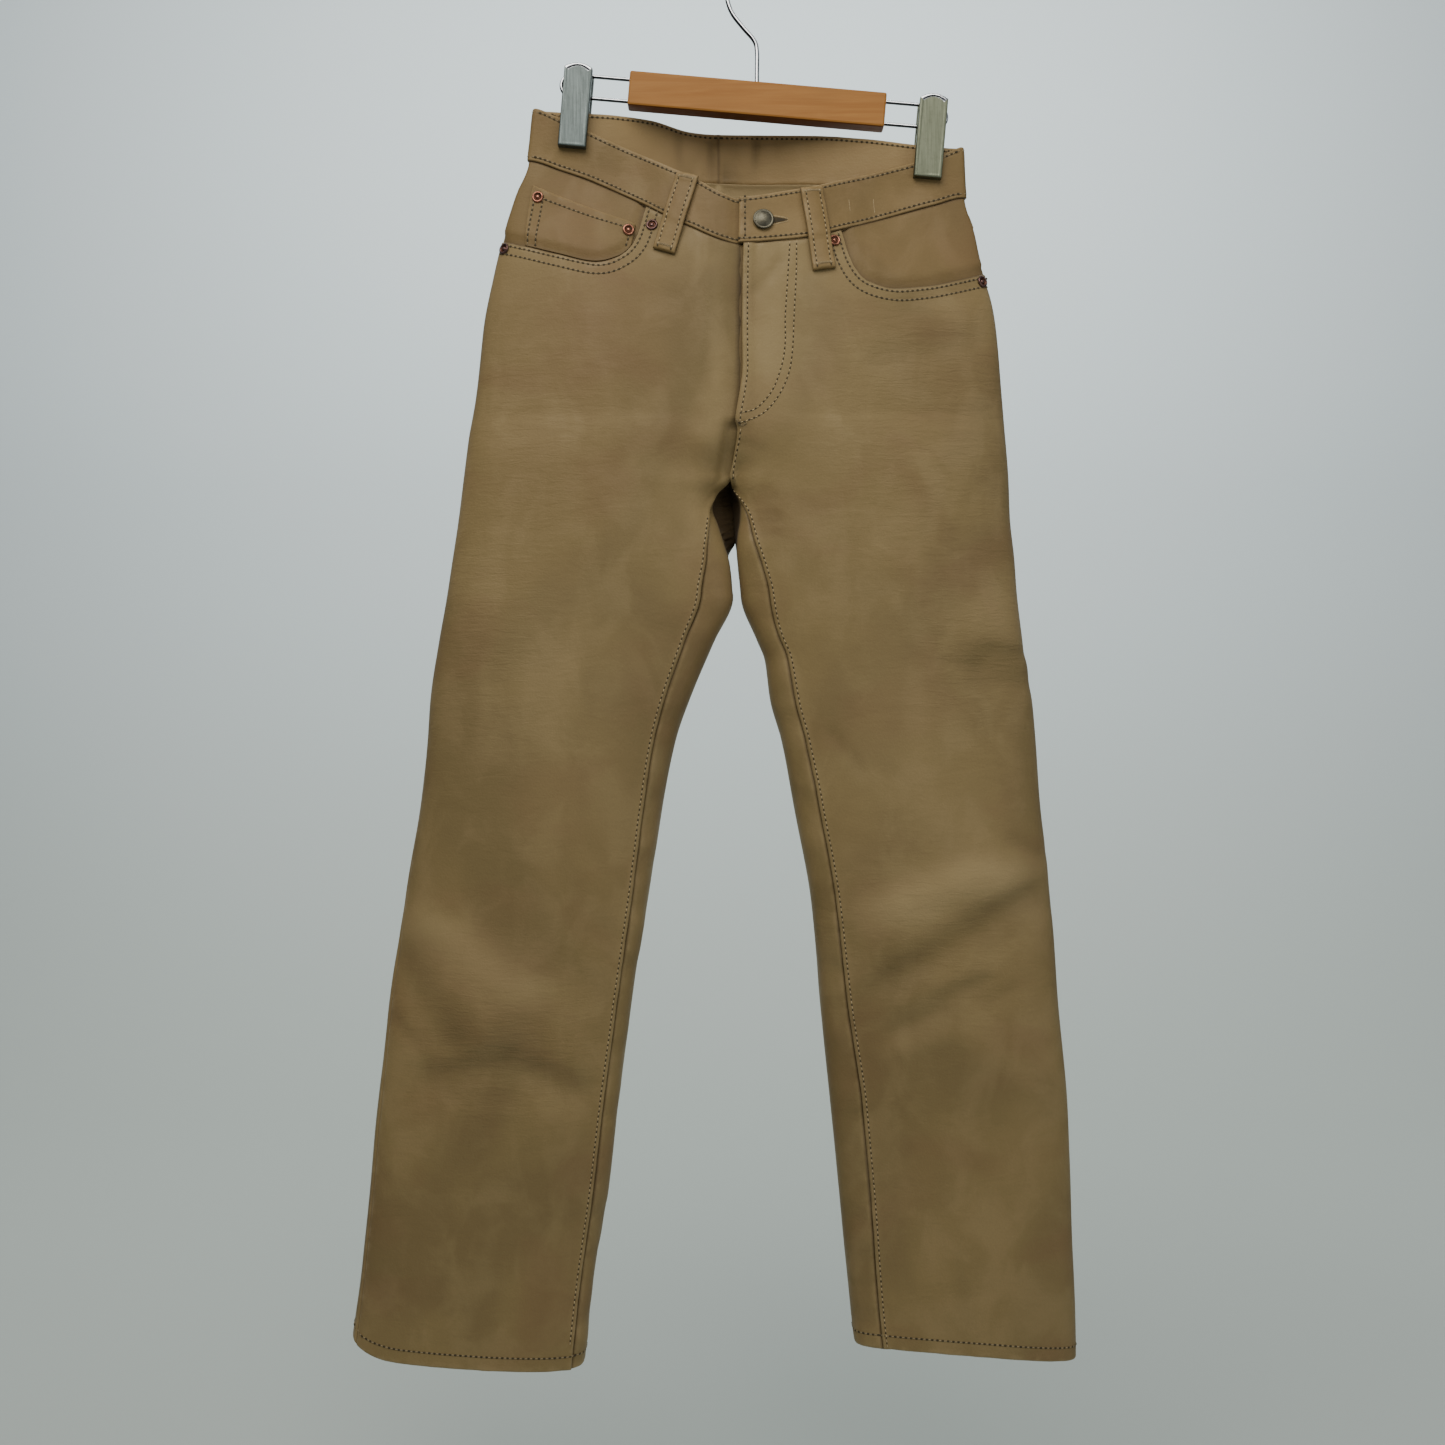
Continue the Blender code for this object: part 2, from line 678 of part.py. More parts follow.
def band_points(side):
    """Middle points of a waistband half, from its lower to its upper edge."""
    back_angles, back_shares, front_angles, front_shares = band_stations(side)
    rows = np.linspace(0.0, 1.0, BAND_ROWS)[:, None]
    grids = []
    for face, angles, shares in ((BACK, back_angles, back_shares), (FRONT, front_angles, front_shares)):
        low, high = (waist_height(side, face, shares, edge) for edge in ("bottom", "top"))
        heights = low + (high - low) * rows
        grids.append(leather_with_normals(side, np.broadcast_to(angles, heights.shape), heights))
    points = np.concatenate((grids[0][0], grids[1][0]), axis=1)
    normals = np.concatenate((grids[0][1], grids[1][1]), axis=1)
    return points, normals


def add_waistband(collection):
    """Waistband halves, joined at the centre back. The left one runs on under the right one."""
    points, normals = band_points("right")
    wall("band_right", collection, points, normals, BAND / 2, BAND / 2)
    points, normals = band_points("left")
    edge = centre(FRONT, UNDERLAP["level"])
    across = edge + 1.0 + np.linspace(0.0, UNDERLAP["length"], UNDERLAP["stations"])
    low = WAIST[FRONT].read("bottom", across)
    high = WAIST[FRONT].read("top", across)
    heights = low + (high - low) * np.linspace(0.0, 1.0, BAND_ROWS)[:, None]
    lap_points, lap_normals = face_with_normals(FRONT, across, heights)
    ramp_x = edge - UNDERLAP["ramp"]
    ramp = points[:, -1:] * 0.5 + points[:, -2:-1] * 0.5
    points = np.concatenate((points[:, :-1], ramp, points[:, -1:], lap_points), axis=1)
    normals = np.concatenate((normals[:, :-1], normals[:, -2:-1], normals[:, -1:], lap_normals), axis=1)
    sink = (BAND + LAYER_GAP) * smooth((points[..., 0] - ramp_x) / (UNDERLAP["ramp"] - 1.0))
    sink[:, : points.shape[1] // 2] = 0.0
    wall("band_left", collection, points - normals * sink[..., None], normals, BAND / 2, BAND / 2)


# Belt loops: face, top and bottom of the centre line.
LOOP_WIDTH = 18.6
LOOP_ROWS = 8
LOOP_BULGE = 2.2
LOOP_LIFT = 0.5
LOOP_STEP = 5.0
LOOPS = (
    ("loop_front_left", FRONT, (-56.0, -183.5), (-76.0, -249.0)),
    ("loop_front_right", FRONT, (43.0, -194.0), (53.5, -264.0)),
    ("loop_back_left", BACK, (-104.0, -126.0), (-106.0, -193.0)),
    ("loop_back_centre", BACK, (-31.0, -132.5), (-31.0, -199.0)),
    ("loop_back_right", BACK, (64.0, -141.5), (58.0, -208.5)),
)


def add_belt_loops(collection):
    """Folded strips sewn across the waistband, bowed out a little in the middle."""
    for name, face, top, bottom in LOOPS:
        top, bottom = np.array(top), np.array(bottom)
        run = (bottom - top) / np.linalg.norm(bottom - top)
        side_way = np.array((-run[1], run[0]))
        across = np.linspace(-LOOP_WIDTH / 2, LOOP_WIDTH / 2, 4)[None, :, None] * side_way
        down = np.linspace(0.0, 1.0, LOOP_ROWS)[:, None, None]
        flat = top + (bottom - top) * down + across
        points, normals = face_with_normals(face, flat[..., 0], flat[..., 1])
        band_edge = WAIST[face].read("bottom", flat[..., 0]) - LOOP_STEP
        under = np.where(flat[..., 1] > band_edge, BAND / 2, LEATHER / 2)
        bow = LOOP_BULGE * np.sin(math.pi * down[..., 0]) ** ROUNDNESS
        level = under + LOOP_LIFT + LOOP / 2 + bow
        wall(name, collection, points + normals * level[..., None], normals, LOOP / 2, LOOP / 2)


def turned(name, profile, steps, made_material, collection):
    """A turned piece: a profile from its top centre to its bottom centre, swept round Z."""
    mesh = bpy.data.meshes.new(name)
    corners = [(r * MM, 0.0, z * MM) for r, z in profile]
    mesh.from_pydata(corners, [(i, i + 1) for i in range(len(corners) - 1)], [])
    made = add(name, mesh, made_material, collection)
    screw = made.modifiers.new("Turn", "SCREW")
    screw.steps = screw.render_steps = steps
    screw.use_merge_vertices = True
    screw.merge_threshold = 0.00001
    return made


def stand_on(made, point, normal, lift):
    """Place a turned piece on a surface, its axis along the surface's normal."""
    normal = Vector(normal)
    made.location = (Vector(point) + normal * lift) * MM
    made.rotation_mode = "QUATERNION"
    made.rotation_quaternion = normal.to_track_quat("Z", "Y")


def dome(radius_of_rim, height):
    """Profile of a low dome with a rolled rim."""
    return (
        (0.0, height * 0.8), (radius_of_rim * 0.45, height * 0.78), (radius_of_rim * 0.66, height * 0.7),
        (radius_of_rim * 0.8, height), (radius_of_rim * 0.93, height * 0.9), (radius_of_rim, height * 0.5),
        (radius_of_rim * 0.94, 0.0), (0.0, 0.0),
    )


# Rivets: half, place across and height, and the level under them.
RIVETS = (
    ("rivet_left_band", -86.0, -225.0, LEATHER / 2),
    ("rivet_left_side", -207.5, -241.5, LEATHER / 2),
    ("rivet_coin_outer", -180.5, -198.5, LEATHER * 1.5 + LAYER_GAP),
    ("rivet_coin_inner", -105.0, -230.0, LEATHER * 1.5 + LAYER_GAP),
    ("rivet_right_band", 62.5, -238.0, LEATHER / 2),
    ("rivet_right_side", 185.0, -268.0, LEATHER / 2),
)


def add_button_and_rivets(collection):
    """Waist button and pocket rivets."""
    pewter = material("button_metal", (0.08, 0.065, 0.05), 0.4, 1.0)
    button = turned("button", dome(BUTTON_RADIUS, BUTTON_HEIGHT), ROUND_STEPS, pewter, collection)
    points, normals = face_with_normals(FRONT, *BUTTON_PLACE)
    stand_on(button, points, normals, BAND / 2 + BUTTON_LIFT)
    for name, x, height, under in RIVETS:
        copper = material(name + "_copper", (0.20, 0.09, 0.045), 0.45, 1.0)
        rivet = turned(name, dome(RIVET_RADIUS, RIVET_HEIGHT), RIVET_STEPS, copper, collection)
        points, normals = face_with_normals(FRONT, x, height)
        sink = 0.0
        if name.startswith("rivet_coin"):
            sink = float(facing_sink("left", points[None])[0]) - CLEARANCE
        stand_on(rivet, points, normals, under - sink + RIVET_LIFT)


def smooth_path(anchors, pieces):
    """Points on a rounded curve through a few anchors."""
    anchors = [np.array(a, dtype=float) for a in anchors]
    ends = [2 * anchors[0] - anchors[1]] + anchors + [2 * anchors[-1] - anchors[-2]]
    points = []
    for a, b, c, d in zip(ends, ends[1:], ends[2:], ends[3:]):
        for i in range(pieces):
            t = i / pieces
            points.append(0.5 * (2 * b + (c - a) * t + (2 * a - 5 * b + 4 * c - d) * t * t
                                 + (3 * b - a - 3 * c + d) * t ** 3))
    return points + [anchors[-1]]


def add_wire(name, points, diameter, made_material, collection, parent=None):
    """A round wire along a list of points."""
    curve = bpy.data.curves.new(name, "CURVE")
    curve.dimensions = "3D"
    curve.bevel_depth = diameter / 2 * MM
    curve.bevel_resolution = 2
    curve.use_fill_caps = True
    spline = curve.splines.new("POLY")
    spline.points.add(len(points) - 1)
    for place, point in zip(spline.points, points):
        place.co = (*(float(v) * MM for v in point), 1.0)
    curve.materials.append(made_material)
    made = bpy.data.objects.new(name, curve)
    made.parent = parent
    collection.objects.link(made)
    return made


def add_hook(collection):
    """Swan-neck hook with its stem in the bar."""
    top = BAR_HEIGHT + BAR_SIZE[2] / 2
    hook_centre = HOOK_WIRE / 2 - HOOK_RADIUS
    neck = (
        (0.0, 0.0, top - HOOK_SEAT), (0.0, 0.0, top + 8.0), (0.0, 0.0, -73.0), (-2.5, 0.0, -64.0),
        (-11.0, 0.0, -54.0), (-20.0, 0.0, -42.5), (-24.2, 0.0, -32.0), (-HOOK_RADIUS, 0.0, hook_centre),
    )
    points = smooth_path(neck, 3)
    for i in range(1, 19):
        turn = math.pi * (1 - 1.12 * i / 18)
        points.append((HOOK_RADIUS * math.cos(turn), 0.0, hook_centre + HOOK_RADIUS * math.sin(turn)))
    chrome = material("hook_chrome", (0.7, 0.7, 0.7), 0.15, 1.0)
    add_wire("hanger_hook", points, HOOK_WIRE, chrome, collection)


def cutter_rod(name, radius_of_rod, start, end, parent, cutters):
    """A round cutter between two points."""
    start, end = Vector(start) * MM, Vector(end) * MM
    mesh = bpy.data.meshes.new(name)
    shape = bmesh.new()
    bmesh.ops.create_cone(shape, cap_ends=True, segments=12, radius1=radius_of_rod * MM,
                          radius2=radius_of_rod * MM, depth=(end - start).length)
    shape.to_mesh(mesh)
    shape.free()
    rod = bpy.data.objects.new(name, mesh)
    rod.location = (start + end) / 2
    rod.rotation_mode = "QUATERNION"
    rod.rotation_quaternion = (end - start).to_track_quat("Z", "Y")
    rod.parent = parent
    rod.hide_render = True
    rod.display_type = "WIRE"
    cutters.objects.link(rod)
    return rod


def add_bar(collection, cutters, tilted):
    """Wooden bar, bored for the hook and the wires."""
    length, thickness, height = BAR_SIZE
    mesh = bpy.data.meshes.new("hanger_bar")
    shape = bmesh.new()
    bmesh.ops.create_cube(shape, size=1.0)
    bmesh.ops.scale(shape, vec=(length * MM, thickness * MM, height * MM), verts=shape.verts)
    shape.to_mesh(mesh)
    shape.free()
    bar = add("hanger_bar", mesh, material("bar_wood", (0.39, 0.19, 0.07), 0.5), collection)
    bar.parent = tilted
    edge = bar.modifiers.new("Edge", "BEVEL")
    edge.width = BAR_EDGE * MM
    edge.segments = 2
    top = BAR_HEIGHT + height / 2
    rods = [cutter_rod("cut_hook", HOOK_WIRE / 2 + CLEARANCE, (0.0, 0.0, top - HOOK_SEAT - CLEARANCE),
                       (0.0, 0.0, top + 10.0), None, cutters)]
    for end in (-1, 1):
        for level in (-WIRE_SPREAD / 2, WIRE_SPREAD / 2):
            inside = (end * (length / 2 - WIRE_SEAT - CLEARANCE), 0.0, level)
            outside = (end * (length / 2 + 5.0), 0.0, level)
            rods.append(cutter_rod("cut_wire", WIRE / 2 + CLEARANCE, inside, outside, tilted, cutters))
    for rod in rods:
        cut = bar.modifiers.new("Bore", "BOOLEAN")
        cut.operation = "DIFFERENCE"
        cut.object = rod


def add_wire_loops(collection, tilted):
    """Wire loops that slide the clips, set in the bar's ends."""
    for side, sign in (("left", -1), ("right", 1)):
        bend = WIRE_SPREAD / 2
        start = sign * (BAR_SIZE[0] / 2 - WIRE_SEAT)
        turn_centre = sign * (WIRE_END[side] - WIRE / 2 - bend)
        points = [(start, 0.0, bend), (sign * (BAR_SIZE[0] / 2 + 12.0), 0.0, bend)]
        for i in range(13):
            turn = math.pi / 2 - math.pi * i / 12
            points.append((turn_centre + sign * bend * math.cos(turn), 0.0, bend * math.sin(turn)))
        points += [(sign * (BAR_SIZE[0] / 2 + 12.0), 0.0, -bend), (start, 0.0, -bend)]
        chrome = material("wire_chrome_" + side, (0.7, 0.7, 0.7), 0.15, 1.0)
        add_wire("hanger_wire_" + side, points, WIRE, chrome, collection, tilted)


def clip_outline():
    """Outline of a clip's plate: straight sides, flat foot and an arched top."""
    half = CLIP_WIDTH / 2
    points = [(-half, CLIP_BOTTOM), (half, CLIP_BOTTOM)]
    for i in range(9):
        across = half * (1 - 2 * i / 8)
        points.append((across, CLIP_TOP - CLIP_ARCH * (across / half) ** 2))
    return points


def add_clip(collection, tilted, side):
    """One clip: two trays of sheet steel on a spring that hangs on the upper wire."""
    wire_level = WIRE_SPREAD / 2
    place = Vector((CLIP_PLACE[side] / math.cos(HANGER_TILT), 0.0, wire_level)) * MM
    outline = clip_outline()
    for face, word in ((FRONT, "front"), (BACK, "back")):
        name = "clip_%s_%s" % (side, word)
        plate_y, lip_y = -face * (CLIP_GAP + CLIP_DEPTH), -face * CLIP_GAP
        shape = bmesh.new()
        near = [shape.verts.new((x * MM, plate_y * MM, z * MM)) for x, z in outline]
        lips = [shape.verts.new((x * MM, lip_y * MM, z * MM)) for x, z in outline]
        shape.faces.new(near)
        for i in range(len(near)):
            j = (i + 1) % len(near)
            shape.faces.new((near[i], lips[i], lips[j], near[j]))
        bmesh.ops.recalc_face_normals(shape, faces=shape.faces)
        plate = max(shape.faces, key=lambda each: len(each.verts))
        if plate.normal.y * face > 0:
            bmesh.ops.reverse_faces(shape, faces=shape.faces)
        mesh = bpy.data.meshes.new(name)
        shape.to_mesh(mesh)
        shape.free()
        tray = add(name, mesh, steel_material(name + "_steel"), collection)
        tray.parent = tilted
        tray.location = place
        sheet = tray.modifiers.new("Sheet", "SOLIDIFY")
        sheet.thickness = CLIP_SHEET * MM
        sheet.offset = -1.0
        sheet.use_even_offset = True
    add_spring(collection, tilted, side, place)


def add_spring(collection, tilted, side, place):
    """Spring strip bent over the upper wire, its legs inside the two trays."""
    name = "clip_%s_spring" % side
    arch = CLIP_GAP + SPRING_SHEET / 2 + 0.4
    arch_centre = WIRE / 2 + CLEARANCE + SPRING_SHEET / 2 - arch
    profile = [(-arch, arch_centre - SPRING_LEG)]
    profile += [(-arch * math.cos(math.pi * i / 10), arch_centre + arch * math.sin(math.pi * i / 10))
                for i in range(11)]
    profile += [(arch, arch_centre - SPRING_LEG)]
    half = SPRING_WIDTH / 2
    corners = [(x * MM, y * MM, z * MM) for x in (-half, half) for y, z in profile]
    count = len(profile)
    faces = [(i, i + 1, count + i + 1, count + i) for i in range(count - 1)]
    mesh = bpy.data.meshes.new(name)
    mesh.from_pydata(corners, [], faces)
    spring = add(name, mesh, steel_material(name + "_steel"), collection)
    spring.parent = tilted
    spring.location = place
    sheet = spring.modifiers.new("Sheet", "SOLIDIFY")
    sheet.thickness = SPRING_SHEET * MM
    sheet.offset = 0.0


def add_hanger(collection, cutters):
    """Hook, bar, wires and clips, tilted as the hanger hangs."""
    tilted = bpy.data.objects.new("hanger_tilt", None)
    tilted.location = (0.0, 0.0, BAR_HEIGHT * MM)
    tilted.rotation_euler = (0.0, HANGER_TILT, 0.0)
    collection.objects.link(tilted)
    bpy.context.view_layer.update()
    add_hook(collection)
    add_bar(collection, cutters, tilted)
    add_wire_loops(collection, tilted)
    for side in SIDES:
        add_clip(collection, tilted, side)


def main():
    for old in list(bpy.data.objects):
        bpy.data.objects.remove(old, do_unlink=True)
    collection = bpy.data.collections.new("Leather_Trousers")
    cutters = bpy.data.collections.new("Cutters")
    for made in (collection, cutters):
        bpy.context.scene.collection.children.link(made)
    add_leg_panels(collection)
    add_yokes(collection)
    add_facings(collection)
    add_coin_pocket(collection)
    add_fly_shield(collection)
    add_waistband(collection)
    add_belt_loops(collection)
    add_button_and_rivets(collection)
    add_hanger(collection, cutters)
    bpy.context.view_layer.update()


main()
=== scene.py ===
import math

import bmesh
import bpy
import numpy as np
from bpy.props import FloatProperty, FloatVectorProperty, IntProperty, PointerProperty
from bpy.types import Operator, Panel, PropertyGroup
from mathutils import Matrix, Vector
from mathutils.bvhtree import BVHTree


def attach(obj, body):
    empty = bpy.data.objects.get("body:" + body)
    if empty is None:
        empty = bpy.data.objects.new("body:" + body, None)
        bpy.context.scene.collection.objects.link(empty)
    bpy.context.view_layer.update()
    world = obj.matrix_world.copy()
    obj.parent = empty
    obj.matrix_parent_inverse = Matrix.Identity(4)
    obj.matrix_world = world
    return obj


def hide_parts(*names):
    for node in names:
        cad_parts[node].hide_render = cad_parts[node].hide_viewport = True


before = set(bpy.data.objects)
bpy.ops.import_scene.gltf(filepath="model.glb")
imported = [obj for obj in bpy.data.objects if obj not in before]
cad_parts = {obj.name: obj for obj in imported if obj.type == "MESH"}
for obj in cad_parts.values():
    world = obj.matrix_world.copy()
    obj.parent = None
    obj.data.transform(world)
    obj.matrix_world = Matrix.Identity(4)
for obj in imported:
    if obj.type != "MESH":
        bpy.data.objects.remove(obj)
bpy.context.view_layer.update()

bl_info = {
    "name": "Leather Trousers on a Clip Hanger",
    "version": (1, 0, 0),
    "blender": (4, 5, 0),
    "location": "3D View > Sidebar > Trousers",
    "description": "Makes hanging leather trousers, their hanger and a studio stage",
    "category": "Object",
}

BODY = "root"
MM = 0.001

# The cut, in millimetres. These are the sizes and folds of the part's own solids.
LEATHER = 1.5
BAND = 3.5
LOOP = 2.4
LAYER_GAP = 0.45
ROUNDNESS = 0.6
CROTCH_HEIGHT = -429.0
FRONT_CROTCH_RISE = 48.0
BACK_CROTCH_RISE = 85.0
PINCH = 2.4
PINCH_FOLD_ANGLE = 0.16
PINCH_FADE = 110.0
JAW_LINE_HEIGHT = -172.0
JAW_LINE_SLOPE = -0.086
JAW_DROP = 58.0
JAW_MARGIN = 2.0
YOKE_SIDE = 24.0
YOKE_CENTRE = 58.0
HANGER_TILT = math.radians(4.95)
BAR_HEIGHT = -115.0
BAR_SIZE = (213.0, 15.0, 28.4)
WIRE = 3.0
WIRE_SPREAD = 18.2
WIRE_SEAT = 9.0
WIRE_END = {"left": 164.5, "right": 159.5}
HOOK_WIRE = 3.7
HOOK_RADIUS = 25.0
HOOK_SEAT = 12.0
CLIP_PLACE = {"left": -148.3, "right": 145.0}
CLIP_WIDTH = 23.0
CLIP_TOP = 6.4
CLIP_BOTTOM = -62.5
CLIP_ARCH = 3.6
CLIP_ARCH_STEPS = 16
CLIP_DEPTH = 6.0
CLIP_SHEET = 1.2
CLIP_GAP = 4.5
SPRING_SHEET = 1.0
SPRING_WIDTH = 20.0
SPRING_LEG = 22.0
CLEARANCE = 0.3
FRONT = 1
BACK = -1
SIDES = ("left", "right")


class Table:
    """Rows of sizes with named columns, read on a smooth curve by the first column."""

    def __init__(self, columns, rows):
        self.columns = columns
        self.rows = np.array(rows, dtype=float)

    def column(self, name):
        return self.rows[:, self.columns.index(name)]

    def read(self, name, key):
        keys, values = self.rows[:, 0], self.column(name)
        gaps = np.diff(keys)
        slopes = np.diff(values) / gaps
        before, after = slopes[:-1], slopes[1:]
        total = np.where(before + after == 0.0, 1.0, before + after)
        middle = np.where(before * after > 0.0, 2.0 * before * after / total, 0.0)
        tangents = np.concatenate(([slopes[0]], middle, [slopes[-1]]))
        key = np.asarray(key, dtype=float)
        i = np.clip(np.searchsorted(keys, key) - 1, 0, len(gaps) - 1)
        t = np.clip((key - keys[i]) / gaps[i], 0.0, 1.0)
        start = values[i] * (1 + 2 * t) * (1 - t) ** 2 + tangents[i] * gaps[i] * t * (1 - t) ** 2
        end = values[i + 1] * t * t * (3 - 2 * t) + tangents[i + 1] * gaps[i] * t * t * (t - 1)
        return start + end


SECTION = ("height", "outer", "inner_front", "inner_back", "outseam", "inseam")
HALF = {
    "left": Table(SECTION, (
        (-1165.0, -335.0, -143.5, -143.5, 17, 26), (-1110.0, -329.5, -138.6, -138.6, 17, 25),
        (-1027.0, -320.5, -125.5, -125.5, 17, 27), (-944.0, -312.0, -115.5, -115.5, 17, 27),
        (-861.0, -302.5, -104.0, -104.0, 15, 27), (-778.0, -290.5, -92.0, -92.0, 12, 28),
        (-695.0, -277.0, -78.5, -78.5, 8, 31), (-645.0, -272.0, -68.0, -68.0, 5, 33),
        (-612.0, -269.7, -56.5, -56.5, 3, 35), (-562.0, -262.3, -35.7, -35.7, 0, 37),
        (-529.0, -256.5, -20.5, -20.5, 0, 39), (-495.0, -251.5, -18.2, -18.2, 0, 34),
        (-462.0, -246.5, -20.2, -20.2, 0, 20), (-429.0, -242.4, -23.7, -23.7, 0, 0),
        (-396.0, -238.2, -16.9, -23.5, 0, 0), (-363.0, -232.4, -14.5, -25.0, 0, 0),
        (-305.0, -226.6, -15.0, -28.0, 0, 0), (-263.0, -218.0, -14.5, -30.0, 0, 0),
        (-226.0, -209.5, -13.5, -31.0, 0, 0), (-197.0, -201.5, -13.0, -32.0, 0, 0),
        (-168.0, -190.0, -13.0, -32.0, 0, 0), (-121.0, -184.5, -13.0, -32.0, 0, 0),
    )),
    "right": Table(SECTION, (
        (-1160.0, 263.0, 84.0, 84.0, 0, 40), (-1110.0, 262.0, 78.0, 78.0, 0, 40),
        (-1027.0, 259.0, 70.0, 70.0, 0, 41), (-944.0, 255.6, 60.6, 60.6, 0, 42),
        (-861.0, 248.0, 53.0, 53.0, 0, 38), (-778.0, 242.4, 45.7, 45.7, 0, 36),
        (-695.0, 233.0, 30.3, 30.3, 0, 36), (-645.0, 229.0, 21.5, 21.5, 0, 34),
        (-612.0, 226.0, 12.5, 12.5, 0, 34), (-578.0, 220.8, 7.5, 7.5, 0, 33),
        (-562.0, 218.3, 0.8, 0.8, 0, 33), (-529.0, 214.0, -12.5, -12.5, 0, 37),
        (-495.0, 211.7, -15.5, -15.5, 0, 32), (-462.0, 208.3, -17.6, -17.6, 0, 20),
        (-429.0, 206.7, -21.1, -21.1, 0, 0), (-396.0, 204.2, -16.7, -23.3, 0, 0),
        (-363.0, 201.7, -14.5, -25.0, 0, 0), (-305.0, 196.7, -15.0, -28.0, 0, 0),
        (-263.0, 189.6, -14.5, -30.0, 0, 0), (-246.0, 184.8, -14.0, -30.5, 0, 0),
        (-226.0, 181.0, -13.5, -31.0, 0, 0), (-197.0, 172.8, -13.0, -32.0, 0, 0),
        (-153.0, 170.3, -13.0, -32.0, 0, 0), (-121.0, 169.0, -13.0, -32.0, 0, 0),
    )),
}
DEPTH = Table(("height", "front", "back"), (
    (-1165.0, 27, 27), (-1027.0, 28, 28), (-861.0, 33, 29), (-695.0, 35, 34), (-562.0, 37, 39),
    (-429.0, 36, 44), (-305.0, 34, 47), (-240.0, 30, 41), (-195.0, 25, 33), (-120.0, 21, 29),
))
WAIST = {
    FRONT: Table(("across", "top", "bottom"), (
        (-190.0, -121.0, -165.0), (-184.0, -121.5, -166.0), (-164.0, -129.5, -173.0),
        (-139.0, -140.7, -182.0), (-97.0, -161.6, -203.5), (-57.0, -182.4, -226.5),
        (-16.0, -203.0, -242.0), (35.0, -194.2, -237.4), (76.0, -181.9, -224.9), (128.0, -167.1, -207.7),
        (148.0, -161.8, -201.9), (171.0, -153.0, -196.0), (174.0, -152.5, -196.0),
    )),
    BACK: Table(("across", "top", "bottom"), (
        (-190.0, -121.0, -165.0), (-184.0, -121.5, -166.0), (-137.0, -124.1, -167.0),
        (-90.0, -124.5, -167.5), (-56.0, -129.6, -171.0), (-16.0, -131.0, -173.0), (45.0, -136.4, -178.0),
        (87.0, -143.0, -185.0), (132.0, -149.9, -192.0), (171.0, -153.0, -196.0), (174.0, -152.5, -196.0),
    )),
}
HEM = {"left": (-1150.5, -10.0), "right": (-1154.5, 13.0)}
OPENING = {
    "left": Table(("across", "height"), (
        (-213.0, -233.0), (-186.0, -241.5), (-162.0, -248.6), (-131.0, -256.0), (-113.0, -251.5),
        (-100.0, -238.0), (-91.0, -207.0),
    )),
    "right": Table(("across", "height"), (
        (68.5, -228.6), (76.0, -255.0), (88.0, -271.0), (110.0, -277.5), (136.0, -275.0), (163.0, -268.5),
        (189.0, -260.0),
    )),
}

# Main folds, as in the solids, by half and face: start (x, z), end (x, z), width, rise.
FOLDS = {
    ("left", FRONT): (
        (-284, -826, -250, -890, 13, -4.0), (-214, -868, -200, -870, 30, 5.0),
        (-262, -918, -204, -906, 13, -4.5), (-204, -906, -150, -928, 13, -4.0),
    ),
    ("left", BACK): (
        (-280, -800, -150, -822, 15, -4.0), (-262, -852, -130, -838, 15, -5.0),
        (-290, -900, -170, -884, 15, -3.5), (-190, -505, -60, -470, 18, -4.0),
    ),
    ("right", FRONT): (
        (176, -754, 190, -752, 30, 6.0), (226, -772, 176, -798, 13, -6.0),
        (176, -798, 112, -838, 13, -5.0), (176, -848, 120, -874, 13, -3.0),
        (192, -556, 204, -562, 24, 4.0), (182, -583, 220, -585, 12, -4.5),
    ),
    ("right", BACK): (
        (225, -782, 110, -800, 15, -4.5), (205, -836, 80, -824, 15, -5.0),
        (235, -880, 130, -868, 15, -3.0), (150, -500, 20, -466, 18, -4.0),
    ),
}

